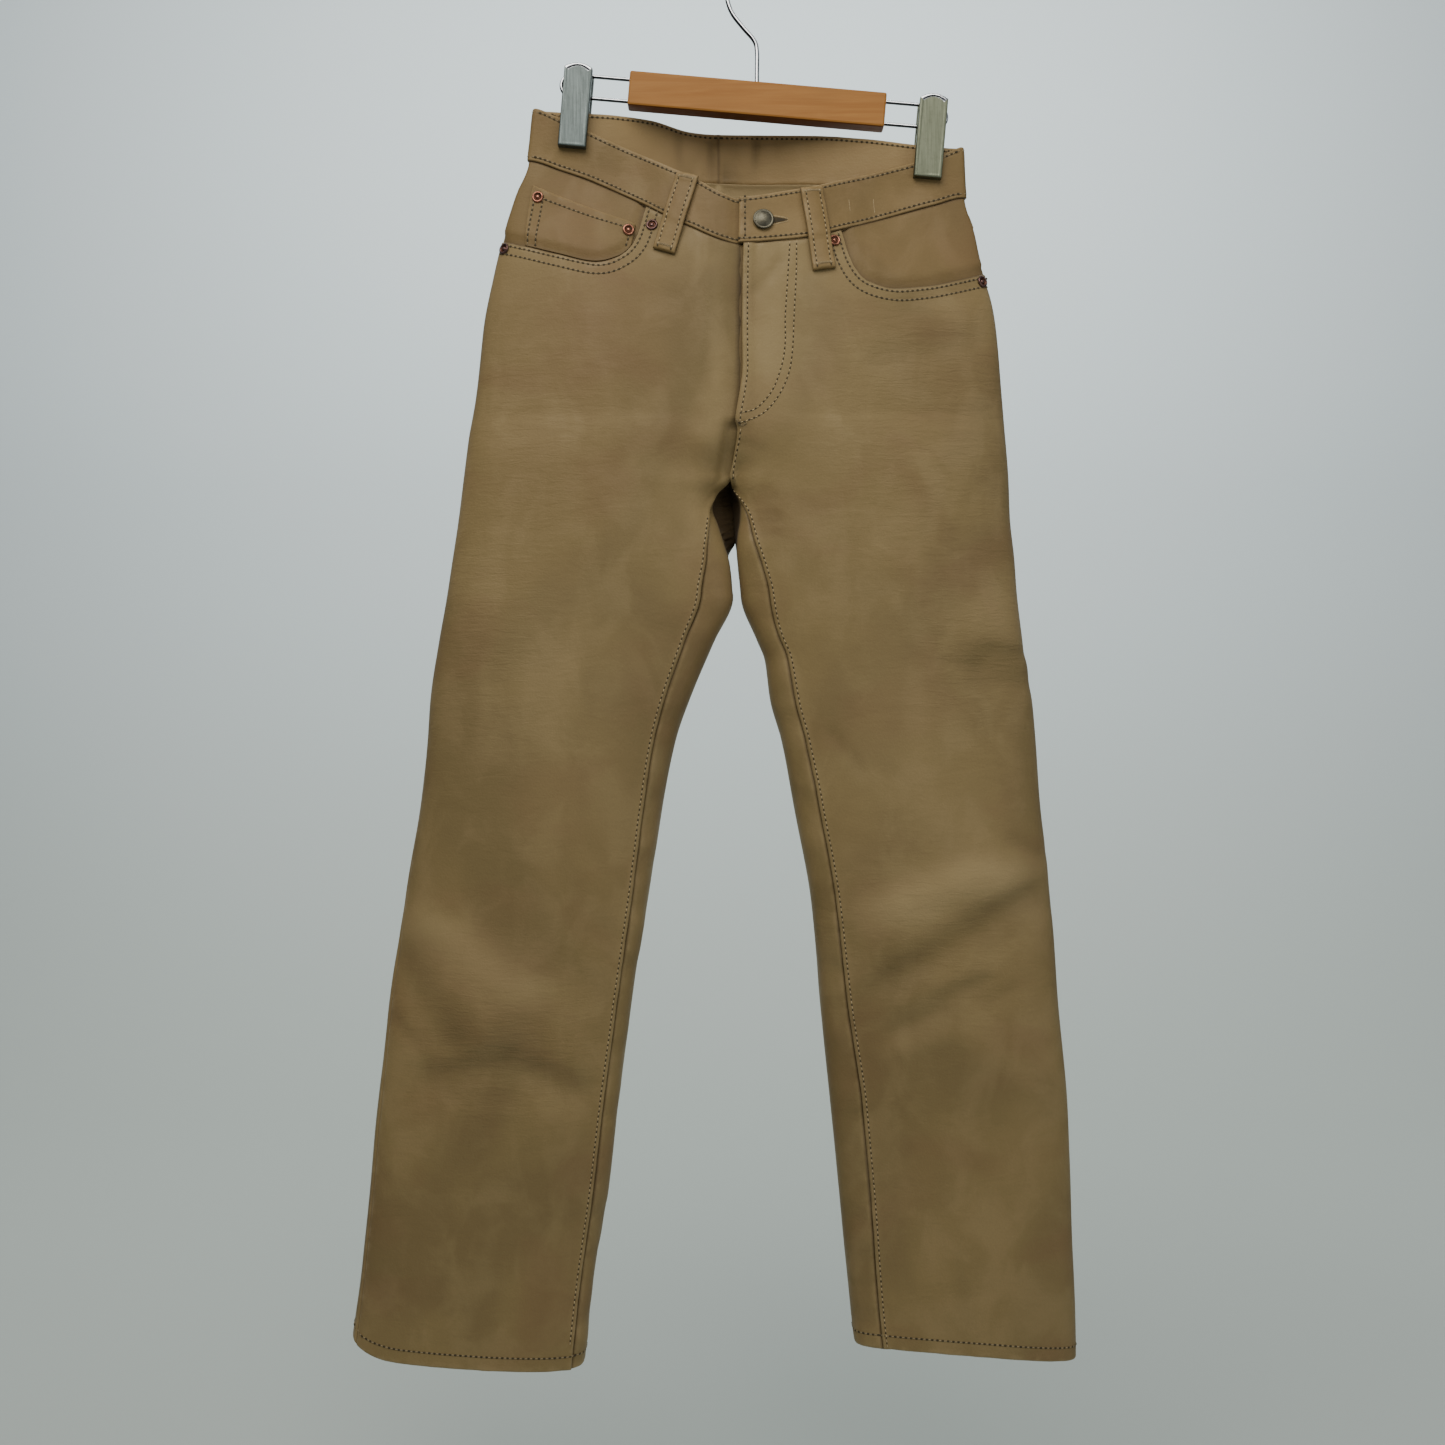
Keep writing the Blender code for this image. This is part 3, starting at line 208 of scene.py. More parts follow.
# Finer creases that only show in the leather's surface, in the same columns.
CREASES = {
    ("left", FRONT): (
        (-268, -792, -196, -850, 16, 1.6), (-290, -820, -280, -850, 9, -0.8),
        (-150, -826, -118, -858, 10, -0.8), (-180, -912, -140, -930, 9, -0.8),
        (-250, -934, -206, -936, 7, -0.9), (-296, -872, -278, -890, 6, -1.0),
        (-60, -480, -92, -530, 14, -0.6), (-90, -470, -140, -500, 14, -0.5),
    ),
    ("left", BACK): (
        (-270, -806, -200, -816, 6, -1.3), (-230, -850, -170, -844, 6, -1.4),
        (-280, -892, -220, -888, 6, -1.2), (-120, -500, -60, -484, 8, -1.4),
    ),
    ("right", FRONT): (
        (116, -776, 176, -752, 15, 1.8), (222, -768, 186, -783, 7, -1.0), (214, -800, 186, -812, 8, -0.8),
        (128, -826, 92, -846, 9, -1.0), (150, -886, 104, -900, 9, 0.8), (186, -838, 150, -852, 6, -1.0),
        (150, -862, 110, -880, 5, -0.9), (206, -846, 186, -858, 6, -0.9), (230, -738, 206, -726, 7, -1.2),
        (60, -640, 84, -668, 6, -0.9), (176, -586, 148, -580, 6, -1.0), (214, -574, 188, -572, 5, -1.2),
        (214, -600, 176, -598, 8, -1.2), (190, -262, 120, -290, 14, -1.6),
        (176, -318, 96, -336, 12, -1.2), (18, -257, -2, -282, 5, -1.1), (10, -470, 44, -520, 12, -0.6),
        (30, -452, 70, -484, 14, -0.5), (-9, -444, 8, -442, 3, -0.9), (-6, -452, 14, -449, 3, -1.1),
        (-4, -460, 12, -459, 3, -1.0), (0, -468, 18, -465, 3, -0.9), (4, -477, 16, -477, 3, -0.7),
        (-16, -402, 4, -410, 4, -0.6),
    ),
    ("right", BACK): (
        (214, -786, 150, -794, 6, -1.3), (180, -834, 120, -830, 6, -1.4), (226, -876, 170, -872, 6, -1.2),
        (90, -490, 30, -474, 8, -1.4),
    ),
}


def smooth(t):
    t = np.clip(t, 0.0, 1.0)
    return t * t * (3 - 2 * t)


def above(height, level, reach):
    """0 at a level, 1 a reach above it."""
    return smooth((height - level) / reach)


def below(height, level, reach):
    """0 at a level, 1 a reach below it."""
    return smooth((level - height) / reach)


def fades(distance, reach, start=0.0):
    """1 up to a start, 0 a reach beyond it."""
    return 1 - smooth((distance - start) / reach)


def bell(distance, width):
    return np.exp(-((distance / width) ** 2))


def oval(x, z, middle_x, middle_z, half_x, half_z):
    """1 in the middle of an oval patch, fading towards its rim and beyond."""
    return np.exp(-(((x - middle_x) / half_x) ** 2) - ((z - middle_z) / half_z) ** 2)


def crease(row, x, height, widen=1.0):
    """Height of one crease at points of a face."""
    x0, z0, x1, z1, width, rise = row
    run = np.array((x1 - x0, z1 - z0), dtype=float)
    along = np.clip(((x - x0) * run[0] + (height - z0) * run[1]) / run.dot(run), 0.0, 1.0)
    away = np.hypot(x - x0 - along * run[0], height - z0 - along * run[1])
    return rise * bell(away / width, widen)


def inner(side, face, height):
    return HALF[side].read("inner_front" if face == FRONT else "inner_back", height)


def centre(face, height):
    return (inner("left", face, height) + inner("right", face, height)) / 2


def span(face, height):
    rise = FRONT_CROTCH_RISE if face == FRONT else BACK_CROTCH_RISE
    return math.pi - math.pi / 2 * np.clip((height - CROTCH_HEIGHT) / rise, 0.0, 1.0)


def radius(side, face, height):
    width = inner(side, face, height) - HALF[side].read("outer", height)
    return width / (1 - np.cos(span(face, height)))


def angle_at(side, face, x, height):
    turn = 1 - (x - HALF[side].read("outer", height)) / radius(side, face, height)
    return face * np.arccos(np.clip(turn, -1.0, 1.0))


def creases(rows, side, face, x, height):
    """Height of all the creases of a face."""
    return sum((crease(row, x, height) for row in rows[side, face]), np.zeros(np.shape(x)))


def across_at(side, face, share, height):
    """Place across, at a share of the way from the outer side to the centre."""
    outer = HALF[side].read("outer", height)
    return outer + (inner(side, face, height) - outer) * share


def face_depth(side, face, angle, x, height):
    depth = DEPTH.read("front" if face == FRONT else "back", height)
    free = (depth + creases(FOLDS, side, face, x, height)) * np.abs(np.sin(angle)) ** ROUNDNESS
    clip = CLIP_PLACE[side] - math.sin(HANGER_TILT) * JAW_DROP
    jaw_edge = clip - math.copysign(CLIP_WIDTH / 2 + JAW_MARGIN, clip)
    middle = inner(side, face, height)
    from_centre = np.clip((x - middle) / (jaw_edge - middle), 0.0, 1.0)
    turn = np.sin(np.minimum(np.abs(angle), PINCH_FOLD_ANGLE) / PINCH_FOLD_ANGLE * math.pi / 2)
    pinched = PINCH * turn + (depth - PINCH) * (1 + np.cos(math.pi * from_centre)) / 2
    held = smooth((height - JAW_LINE_HEIGHT - JAW_LINE_SLOPE * x) / PINCH_FADE + 1)
    return free * (1 - held) + pinched * held


def leather(side, angle, height):
    """Middle of the leather: angle 0 is the outer fold, and it grows over the front."""
    angle, height = np.broadcast_arrays(np.asarray(angle, float), np.asarray(height, float))
    on_front = np.sin(angle) >= 0
    points = np.empty(angle.shape + (3,))
    points[..., 2] = height
    for face in (FRONT, BACK):
        x = HALF[side].read("outer", height) + radius(side, face, height) * (1 - np.cos(angle))
        y = -face * face_depth(side, face, angle, x, height)
        here = on_front if face == FRONT else ~on_front
        points[here, 0] = x[here]
        points[here, 1] = y[here]
    return points


def leather_with_normals(side, angle, height):
    turn, lift = 0.004, 0.5
    across = leather(side, angle + turn, height) - leather(side, angle - turn, height)
    up = leather(side, angle, height + lift) - leather(side, angle, height - lift)
    normals = np.cross(across, up) * (1 if side == "left" else -1)
    normals /= np.linalg.norm(normals, axis=-1, keepdims=True)
    return leather(side, angle, height), normals


def face_with_normals(face, x, height):
    x, height = np.broadcast_arrays(np.asarray(x, float), np.asarray(height, float))
    left = leather_with_normals("left", angle_at("left", face, x, height), height)
    right = leather_with_normals("right", angle_at("right", face, x, height), height)
    on_left = (x < centre(face, height))[..., None]
    return np.where(on_left, left[0], right[0]), np.where(on_left, left[1], right[1])


WAIST_LEVEL = -180.0
POCKET_LEVEL = -245.0
ROUNDS = 40


def waist_height(side, face, share, edge):
    height = np.full(np.shape(share), WAIST_LEVEL)
    for _ in range(ROUNDS):
        height = WAIST[face].read(edge, across_at(side, face, share, height))
    return height


def share_at(side, x, height):
    outer = HALF[side].read("outer", height)
    return (x - outer) / (inner(side, FRONT, height) - outer)


def pocket_corner(side):
    across = OPENING[side].column("across")[-1 if side == "left" else 0]
    return float(share_at(side, across, WAIST[FRONT].read("bottom", across)))


def share_angle(share):
    return np.arccos(1 - np.asarray(share, float))


def opening_height(side, shares):
    height = np.full(np.shape(shares), POCKET_LEVEL)
    for _ in range(ROUNDS):
        height = (height + OPENING[side].read("height", across_at(side, FRONT, shares, height))) / 2
    return height


def panel_name(side, face):
    return ("front_" if face == FRONT else "back_") + side


def yoke_seam(side, shares):
    drop = YOKE_SIDE + (YOKE_CENTRE - YOKE_SIDE) * shares
    return waist_height(side, BACK, shares, "bottom") - drop


def linked(name, data):
    """A new object in the scene."""
    made = bpy.data.objects.new(name, data)
    bpy.context.scene.collection.objects.link(made)
    return made


class Waves:
    """Smooth random waves with a fixed seed, for what is not placed one by one."""

    SIZE = 64

    def __init__(self, seed):
        self.lattice = np.random.default_rng(seed).uniform(-1.0, 1.0, (self.SIZE, self.SIZE))

    def read(self, u, v):
        i, j = np.floor(u).astype(int), np.floor(v).astype(int)
        s, t = smooth(u - i), smooth(v - j)
        corner = [self.lattice[(i + a) % self.SIZE, (j + b) % self.SIZE] for a in (0, 1) for b in (0, 1)]
        low = corner[0] * (1 - t) + corner[1] * t
        high = corner[2] * (1 - t) + corner[3] * t
        return low * (1 - s) + high * s


BROAD = Waves(3)
MEDIUM = Waves(11)
PUCKER = Waves(29)


# Meshes, and where each piece's surface lies.
skins = {}


def put(name, mesh, materials, replaces=()):
    """Link a finished mesh as a piece of the object."""
    made = linked(name, mesh)
    for material in materials:
        mesh.materials.append(material)
    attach(made, BODY)
    if replaces:
        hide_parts(*replaces)
    return made


def faces_out(mesh):
    """Turn every face of a closed mesh outwards."""
    shape = bmesh.new()
    shape.from_mesh(mesh)
    bmesh.ops.recalc_face_normals(shape, faces=shape.faces)
    shape.to_mesh(mesh)
    shape.free()


def ring_faces(rings, steps, start=0, flip=False):
    """Quads between closed rings of points that follow each other."""
    faces = []
    for k in range(rings - 1):
        low, high = start + k * steps, start + (k + 1) * steps
        for i in range(steps):
            j = (i + 1) % steps
            quad = (low + i, high + i, high + j, low + j) if flip else (low + i, low + j, high + j, high + i)
            faces.append(quad)
    return faces


def nearest(away, sides=("low", "high", "start", "end")):
    """Distance from the nearest of a grid's sides."""
    return np.minimum.reduce([away[side] for side in sides])


def mesh_of(name, corners, faces, smooth_faces=True):
    """A mesh from points in millimetres."""
    mesh = bpy.data.meshes.new(name)
    mesh.from_pydata((np.asarray(corners) * MM).tolist(), [], faces)
    mesh.validate()
    if smooth_faces:
        mesh.shade_smooth()
    return mesh


def grid_faces(rows, columns, start=0, flip=False):
    r, c = np.meshgrid(np.arange(rows - 1), np.arange(columns - 1), indexing="ij")
    a = (r * columns + c).ravel() + start
    quads = np.stack((a, a + 1, a + columns + 1, a + columns), axis=1)
    return quads[:, ::-1] if flip else quads


def border_distances(points):
    """Distance of each point of a grid from its first and last rows and columns."""
    down = np.linalg.norm(np.diff(points, axis=0), axis=2).cumsum(axis=0)
    down = np.concatenate((np.zeros((1, points.shape[1])), down))
    across = np.linalg.norm(np.diff(points, axis=1), axis=2).cumsum(axis=1)
    across = np.concatenate((np.zeros((points.shape[0], 1)), across), axis=1)
    return {"low": down, "high": down[-1] - down, "start": across, "end": across[:, -1:] - across}


def cut_of(points):
    """Width, length and area, in metres, of the flat cut that a grid of points was made from."""
    away = border_distances(points)
    width, length = away["start"][:, -1].max() * MM, away["low"][-1].max() * MM
    across, down = np.diff(points[:-1], axis=1), np.diff(points[:, :-1], axis=0)
    area = np.linalg.norm(np.cross(across, down), axis=2).sum() * MM * MM
    return width, length, min(area, width * length)


def skin(name, points, normals, outward, inward, material, values=None):
    """A closed shell of leather round a grid of middle points, with its attributes; its flat cut is worked
    out but not kept.
    """
    rows, columns = points.shape[:2]
    shape = (rows, columns)
    outer = points + normals * np.broadcast_to(outward, shape)[..., None]
    under = points - normals * np.broadcast_to(inward, shape)[..., None]
    count = rows * columns
    corners = np.concatenate((outer.reshape(-1, 3), under.reshape(-1, 3)))
    quads = grid_faces(rows, columns)
    first = quads[len(quads) // 2]
    a, b, d = corners[first[0]], corners[first[1]], corners[first[3]]
    middle_normal = normals.reshape(-1, 3)[first[0]]
    flip = np.dot(np.cross(b - a, d - a), middle_normal) < 0
    top = grid_faces(rows, columns, 0, flip)
    bottom = grid_faces(rows, columns, count, not flip)
    border = list(range(columns))
    border += [r * columns + columns - 1 for r in range(1, rows)]
    border += [(rows - 1) * columns + c for c in range(columns - 2, -1, -1)]
    border += [r * columns for r in range(rows - 2, 0, -1)]
    border = np.array(border)
    after = np.roll(border, -1)
    rim = np.stack((after, border, border + count, after + count), axis=1)
    if flip:
        rim = rim[:, ::-1]
    faces = np.concatenate((top, bottom, rim))
    mesh = mesh_of(name + "_leather", corners, faces.tolist())
    for label, value in (values or {}).items():
        held = mesh.attributes.new(label, "FLOAT", "POINT")
        pair = value if isinstance(value, tuple) else (value, value)
        both = [np.broadcast_to(each, shape).ravel() for each in pair]
        held.data.foreach_set("value", np.concatenate(both).astype(np.float32))
    skins[name] = BVHTree.FromPolygons(outer.reshape(-1, 3).tolist(), top.tolist())
    skins[name + "_inside"] = BVHTree.FromPolygons(under.reshape(-1, 3).tolist(), (bottom - count).tolist())
    made = put(name + "_leather", mesh, [material], (name,))
    width, length, area = cut_of(points)
    return made


def spread(count, near=(0.0, 0.0022, 0.005, 0.009, 0.0145, 0.022, 0.032), both=True):
    """Shares from 0 to 1, close together near the ends."""
    near = np.array(near)
    far = 1.0 - near[::-1] if both else np.array([1.0])
    middle = np.linspace(near[-1], far[0], count)[1:-1]
    return np.concatenate((near, middle, far))


def edge_wear(edge):
    """1 at a piece's border, 0 a few millimetres in."""
    return fades(edge, 7.0)


def rounded(edge, depth, reach):
    """How far the surface drops beside a turned edge."""
    return depth * (1 - np.sqrt(np.clip(edge / reach, 0.0, 1.0)))


def rubbed_and_lit_rim(edge, reach=2.2):
    """1 on the very edge, which is rubbed pale and carries a painted highlight."""
    return fades(edge, reach, 0.3)


def seam_shadow(distance):
    """Darkness where a piece goes under the next one."""
    return SEAM_SHADE_AMOUNT * fades(distance, 2.4)


def ripples(x, z, wide, high, shift, height):
    """Low waves of a flat piece, of about this width and height in millimetres."""
    return MEDIUM.read(x / wide + shift, z / high + shift) * height


# Shader groups and materials.
def feed(tree, made, inputs):
    """Set a node's inputs, or link them where the value is another node's output."""
    for key, value in inputs.items():
        if isinstance(value, bpy.types.NodeSocket):
            tree.links.new(value, made.inputs[key])
        else:
            made.inputs[key].default_value = value


def node(tree, kind, inputs=None, **settings):
    made = tree.nodes.new(kind)
    for name, value in settings.items():
        setattr(made, name, value)
    feed(tree, made, inputs or {})
    return made


def new_group(name, kind, inputs, outputs):
    tree = bpy.data.node_groups.new(name, kind)
    for label, socket_type, default in inputs:
        socket = tree.interface.new_socket(name=label, in_out="INPUT", socket_type=socket_type)
        if default is not None:
            socket.default_value = default
    for label, socket_type in outputs:
        tree.interface.new_socket(name=label, in_out="OUTPUT", socket_type=socket_type)
    return tree, tree.nodes.new("NodeGroupInput"), tree.nodes.new("NodeGroupOutput")


def math_node(tree, operation, a, b):
    return node(tree, "ShaderNodeMath", {0: a, 1: b}, operation=operation).outputs[0]


def times(tree, a, b):
    return math_node(tree, "MULTIPLY", a, b)


def over_zero(tree, value, share=1.0):
    """A value times a share, and 0 where that is less than 0."""
    return math_node(tree, "MAXIMUM", times(tree, value, share), 0.0)


def noise(tree, vector, scale, detail=3.0, roughness=0.5, distortion=0.0):
    return node(tree, "ShaderNodeTexNoise", {
        "Vector": vector, "Scale": scale, "Detail": detail, "Roughness": roughness, "Distortion": distortion,
    }).outputs["Fac"]


def ramp(tree, value, low, high, to_low=0.0, to_high=1.0):
    return node(tree, "ShaderNodeMapRange", {
        "Value": value, "From Min": low, "From Max": high, "To Min": to_low, "To Max": to_high,
    }, interpolation_type="SMOOTHSTEP").outputs["Result"]


def mix_colour(tree, factor, a, b):
    """A colour mix; the node's colour sockets are its inputs 6 and 7 and its output 2."""
    return node(tree, "ShaderNodeMix", {0: factor, 6: a, 7: b}, data_type="RGBA").outputs[2]


def blotches(tree, vector, stretch, low, high, detail, roughness=0.5, distortion=0.0):
    """Soft blotches, more of them along the axes that are stretched more."""
    pattern = noise(tree, stretched(tree, vector, stretch), 1.0, detail, roughness, distortion)
    return ramp(tree, pattern, low, high)


def bumped(tree, height, strength, distance):
    made = node(tree, "ShaderNodeBump", {"Height": height, "Strength": strength, "Distance": distance})
    return made.outputs["Normal"]


def upward(tree):
    """How far a surface faces up: 1 on top, -1 underneath."""
    facing = tree.nodes.new("ShaderNodeTexCoord").outputs["Normal"]
    return node(tree, "ShaderNodeSeparateXYZ", {0: facing}).outputs["Z"]


def toned(colour, share=1.0):
    """A colour made darker or paler, with its alpha."""
    return (*(c * share for c in colour), 1)


def stretched(tree, vector, scale):
    return node(tree, "ShaderNodeVectorMath", {0: vector, 1: scale}, operation="MULTIPLY").outputs[0]


def leather_relief_group():
    """Height of the grain: pebbles, pores and, where the leather is worked, fine lines."""
    tree, into, out = new_group("Leather Relief", "ShaderNodeTree", (
        ("Vector", "NodeSocketVector", None), ("Worked", "NodeSocketFloat", 0.0),
        ("Grain Scale", "NodeSocketFloat", 620.0)), (("Height", "NodeSocketFloat"),))
    vector, worked, scale = into.outputs[:3]
    drift = node(tree, "ShaderNodeTexNoise", {"Vector": vector, "Scale": 160.0, "Detail": 2.0})
    drift = stretched(tree, drift.outputs["Color"], (0.0016, 0.0016, 0.0016))
    bent = node(tree, "ShaderNodeVectorMath", {0: vector, 1: drift}, operation="ADD").outputs[0]
    pebbles = node(tree, "ShaderNodeTexVoronoi", {"Vector": bent, "Scale": scale},
                   feature="SMOOTH_F1").outputs["Distance"]
    pores = noise(tree, vector, 210.0, 4.0, 0.6)
    lines = blotches(tree, bent, (38.0, 38.0, 210.0), 0.36, 0.64, 4.0, 0.62, 0.6)
    slow = noise(tree, stretched(tree, vector, (16.0, 16.0, 34.0)), 1.0, 3.0, 0.55, 0.8)
    total = times(tree, ramp(tree, pebbles, 0.15, 0.75, 1.0, 0.0), 0.11)
    for layer, height in ((pores, 0.24), (times(tree, lines, worked), 0.85), (slow, 1.6)):
        total = math_node(tree, "ADD", total, times(tree, layer, height))
    feed(tree, out, {"Height": total})
    return tree


ROSY_TAN = (0.176, 0.097, 0.043, 1)
SEAM_SHADOW = (0.030, 0.016, 0.007, 1)
TARNISH = (0.02, 0.015, 0.01, 1)
# Painted shade for the undersides of the bright wires.
WIRE_UNDERSIDE_SHADE = (0.018, 0.02, 0.024, 1)
# Painted shade for the underside of the wooden bar.
BAR_UNDERSIDE_SHADE = (0.15, 0.042, 0.013, 1)
# Painted shade: the share of the paper's colour that is left at the floor.
PAPER_FLOOR_SHADE = (0.62, 0.61, 0.55)


def leather_tone_group():
    """Colour of worn leather: soft blotches and rubbed edges, with painted shade in folds and seams and
    painted highlights on rises, rims and lit patches.
    """
    masks = ("Seam", "Fold", "Rim", "Shadow", "Highlight_And_Tint")
    tree, into, out = new_group("Leather Tone", "ShaderNodeTree", (
        ("Vector", "NodeSocketVector", None), ("Tan", "NodeSocketColor", (0.3, 0.2, 0.1, 1)),
        ("Dark", "NodeSocketColor", (0.1, 0.07, 0.03, 1)), ("Light", "NodeSocketColor", (0.5, 0.4, 0.2, 1)),
        *((mask, "NodeSocketFloat", 0.0) for mask in masks)),
        (("Color", "NodeSocketColor"), ("Rubbed", "NodeSocketFloat")))
    vector, tan, dark, light, seam, fold, rim, shadow, highlight_tint = into.outputs[:9]
    small = blotches(tree, vector, (26.0, 26.0, 18.0), 0.4, 0.66, 4.0, 0.55, 0.5)
    worn = times(tree, seam, ramp(tree, noise(tree, vector, 85.0, 3.0), 0.40, 0.62))
    layers = (
        (blotches(tree, vector, (7.0, 7.0, 5.0), 0.38, 0.62, 3.0, 0.5, 0.5), 0.40, dark),
        (small, 0.20, light),
        (blotches(tree, vector, (11.0, 11.0, 15.0), 0.46, 0.7, 2.0, 0.5, 0.6), 0.30, ROSY_TAN),
        (ramp(tree, noise(tree, vector, 520.0, 3.0, 0.6), 0.3, 0.7), 0.08, dark),
        # Painted highlights and paler leather, then a redder tint where the mask is below 0.
        (over_zero(tree, highlight_tint), 0.7, light),
        (over_zero(tree, highlight_tint, -1.0), 0.6, ROSY_TAN),
        # Rubbed edges, which also carry a painted highlight.
        (rim, 0.46, light),
        (worn, 0.28, light),
        # Painted shade in the hollows of folds, painted highlight on their rises, and painted shadow in
        # seams.
        (over_zero(tree, fold), 0.62, dark),
        (over_zero(tree, fold, -1.0), 0.42, light),
        (shadow, 0.85, SEAM_SHADOW),
    )
    colour = tan
    for mask, strength, over in layers:
        colour = mix_colour(tree, times(tree, mask, strength), colour, over)
    feed(tree, out, {"Color": colour, "Rubbed": math_node(tree, "ADD", worn, times(tree, small, 0.5))})
    return tree


def brushed_group():
    """Fine straight lines, as left by a brush or a rolling mill."""
    tree, into, out = new_group("Brushed Lines", "ShaderNodeTree", (
        ("Vector", "NodeSocketVector", None), ("Across", "NodeSocketFloat", 1500.0),
        ("Along", "NodeSocketFloat", 40.0)), (("Value", "NodeSocketFloat"),))
    vector, across, along = into.outputs[:3]
    scale = node(tree, "ShaderNodeCombineXYZ", {"X": across, "Y": along, "Z": along}).outputs[0]
    feed(tree, out, {"Value": noise(tree, stretched(tree, vector, scale), 1.0, 3.0, 0.6)})
    return tree


def new_material(name):
    made = bpy.data.materials.new(name)
    made.use_nodes = True
    tree = made.node_tree
    shader = tree.nodes["Principled BSDF"]
    coordinates = tree.nodes.new("ShaderNodeTexCoord").outputs["Object"]
    return made, tree, shader, coordinates


def placed_group(tree, name, build, inputs):
    """A shader group in a material, built the first time that it is asked for."""
    return node(tree, "ShaderNodeGroup", inputs, node_tree=bpy.data.node_groups.get(name) or build())


def made_once(build):
    """Find a material by its name, or build it the first time."""
    def find_or_build(name, *rest):
        return bpy.data.materials.get(name) or build(name, *rest)

    return find_or_build


def attribute(tree, name):
    return node(tree, "ShaderNodeAttribute", attribute_name=name).outputs["Fac"]


@made_once
def leather_material(name, looks, shade=(1.0, 1.0, 1.0)):
    """Tan leather; shade darkens a copy of it, a painted shade for the pieces that use that copy."""
    made, tree, shader, place = new_material(name)
    relief = placed_group(tree, "Leather Relief", leather_relief_group, {
        "Vector": place, "Worked": attribute(tree, "worked"), "Grain Scale": looks.grain_scale})
    masks = {word: attribute(tree, word.lower()) for word in ("Seam", "Fold", "Rim", "Shadow", "Highlight_And_Tint")}
    tones = {word: (*(c * s for c, s in zip(colour, shade)), 1)
             for word, colour in (("Tan", looks.tan), ("Dark", looks.dark), ("Light", looks.light))}
    tone = placed_group(tree, "Leather Tone", leather_tone_group, {"Vector": place, **masks, **tones})
    feed(tree, shader, {
        "Base Color": tone.outputs["Color"],
        "Roughness": ramp(tree, tone.outputs["Rubbed"], 0.0, 1.0, 0.66, 0.5),
        "Normal": bumped(tree, relief.outputs["Height"], 0.55, looks.grain_height),
        "Specular IOR Level": 0.26, "Sheen Weight": 0.03, "Sheen Roughness": 0.5})
    return made


@made_once
def thread_material(name, looks, shade=1.0):
    """Twisted thread; shade darkens a copy of it, a painted shade for the rows that use that copy."""
    made, tree, shader, place = new_material(name)
    twist = ramp(tree, noise(tree, place, 1400.0, 2.0), 0.35, 0.65)
    feed(tree, shader, {
        "Base Color": mix_colour(tree, twist, toned(looks.thread, shade), toned(looks.thread, shade * 0.62)),
        "Normal": bumped(tree, twist, 0.5, 0.0002), "Roughness": 0.6})
    return made


# Needle holes: very dark tan, a painted shade in the holes.
@made_once
def needle_hole_material(name, looks):
    made, tree, shader, place = new_material(name)
    spots = ramp(tree, noise(tree, place, 300.0, 2.0), 0.3, 0.7)
    feed(tree, shader, {
        "Base Color": mix_colour(tree, spots, toned(looks.dark, 0.34), toned(looks.dark, 0.34 * 1.7)),
        "Roughness": 0.9})
    return made


@made_once
def metal_material(name, colour, roughness, lines=0.0, spots=0.0, underside=0.0):
    """Metal with brushed lines, tarnish spots and, on a bright wire, painted shade on its underside."""
    made, tree, shader, place = new_material(name)
    brushed = placed_group(tree, "Brushed Lines", brushed_group, {"Vector": place}).outputs["Value"]
    stain = ramp(tree, noise(tree, place, 260.0, 4.0, 0.6), 0.48, 0.68)
    tint = mix_colour(tree, times(tree, stain, spots), toned(colour), TARNISH)
    # Painted shade on the faces that point down.
    if underside:
        tint = mix_colour(tree, ramp(tree, upward(tree), 0.05, -0.25, 0.0, underside), tint, WIRE_UNDERSIDE_SHADE)
    height = math_node(tree, "ADD", times(tree, brushed, lines), times(tree, stain, spots * 0.6))
    feed(tree, shader, {
        "Base Color": tint,
        "Roughness": ramp(tree, brushed, 0.3, 0.7, roughness, roughness + 0.12 + 0.25 * lines),
        "Normal": bumped(tree, height, 0.35, 0.00012), "Metallic": 1.0})
    return made


@made_once
def wood_material(name, looks):
    """Varnished reddish wood with its grain along the bar, and painted shade on its underside."""
    made, tree, shader, place = new_material(name)
    grain = noise(tree, stretched(tree, place, (7.0, 90.0, 150.0)), 1.0, 6.0, 0.62, 1.2)
    fibres = noise(tree, stretched(tree, place, (28.0, 900.0, 1300.0)), 1.0, 3.0, 0.6)
    patch = blotches(tree, place, (14.0, 20.0, 26.0), 0.35, 0.7, 2.0)
    colour = toned(looks.wood)
    for mask, over in (
        (ramp(tree, grain, 0.32, 0.72, 0.0, 0.8), toned(looks.wood_dark)),
        (times(tree, ramp(tree, fibres, 0.4, 0.7), 0.35), toned(looks.wood_dark)),
        (times(tree, patch, 0.35), toned(looks.wood, 0.72)),
        # Painted shade on the faces that point down.
        (ramp(tree, upward(tree), -0.5, -0.9, 0.0, 0.85), BAR_UNDERSIDE_SHADE),
    ):
        colour = mix_colour(tree, mask, colour, over)
    feed(tree, shader, {
        "Base Color": colour, "Roughness": ramp(tree, grain, 0.3, 0.7, 0.42, 0.55),
        "Normal": bumped(tree, fibres, 0.3, 0.0002),
        "Specular IOR Level": 0.2, "Coat Weight": 0.05, "Coat Roughness": 0.3})
    return made


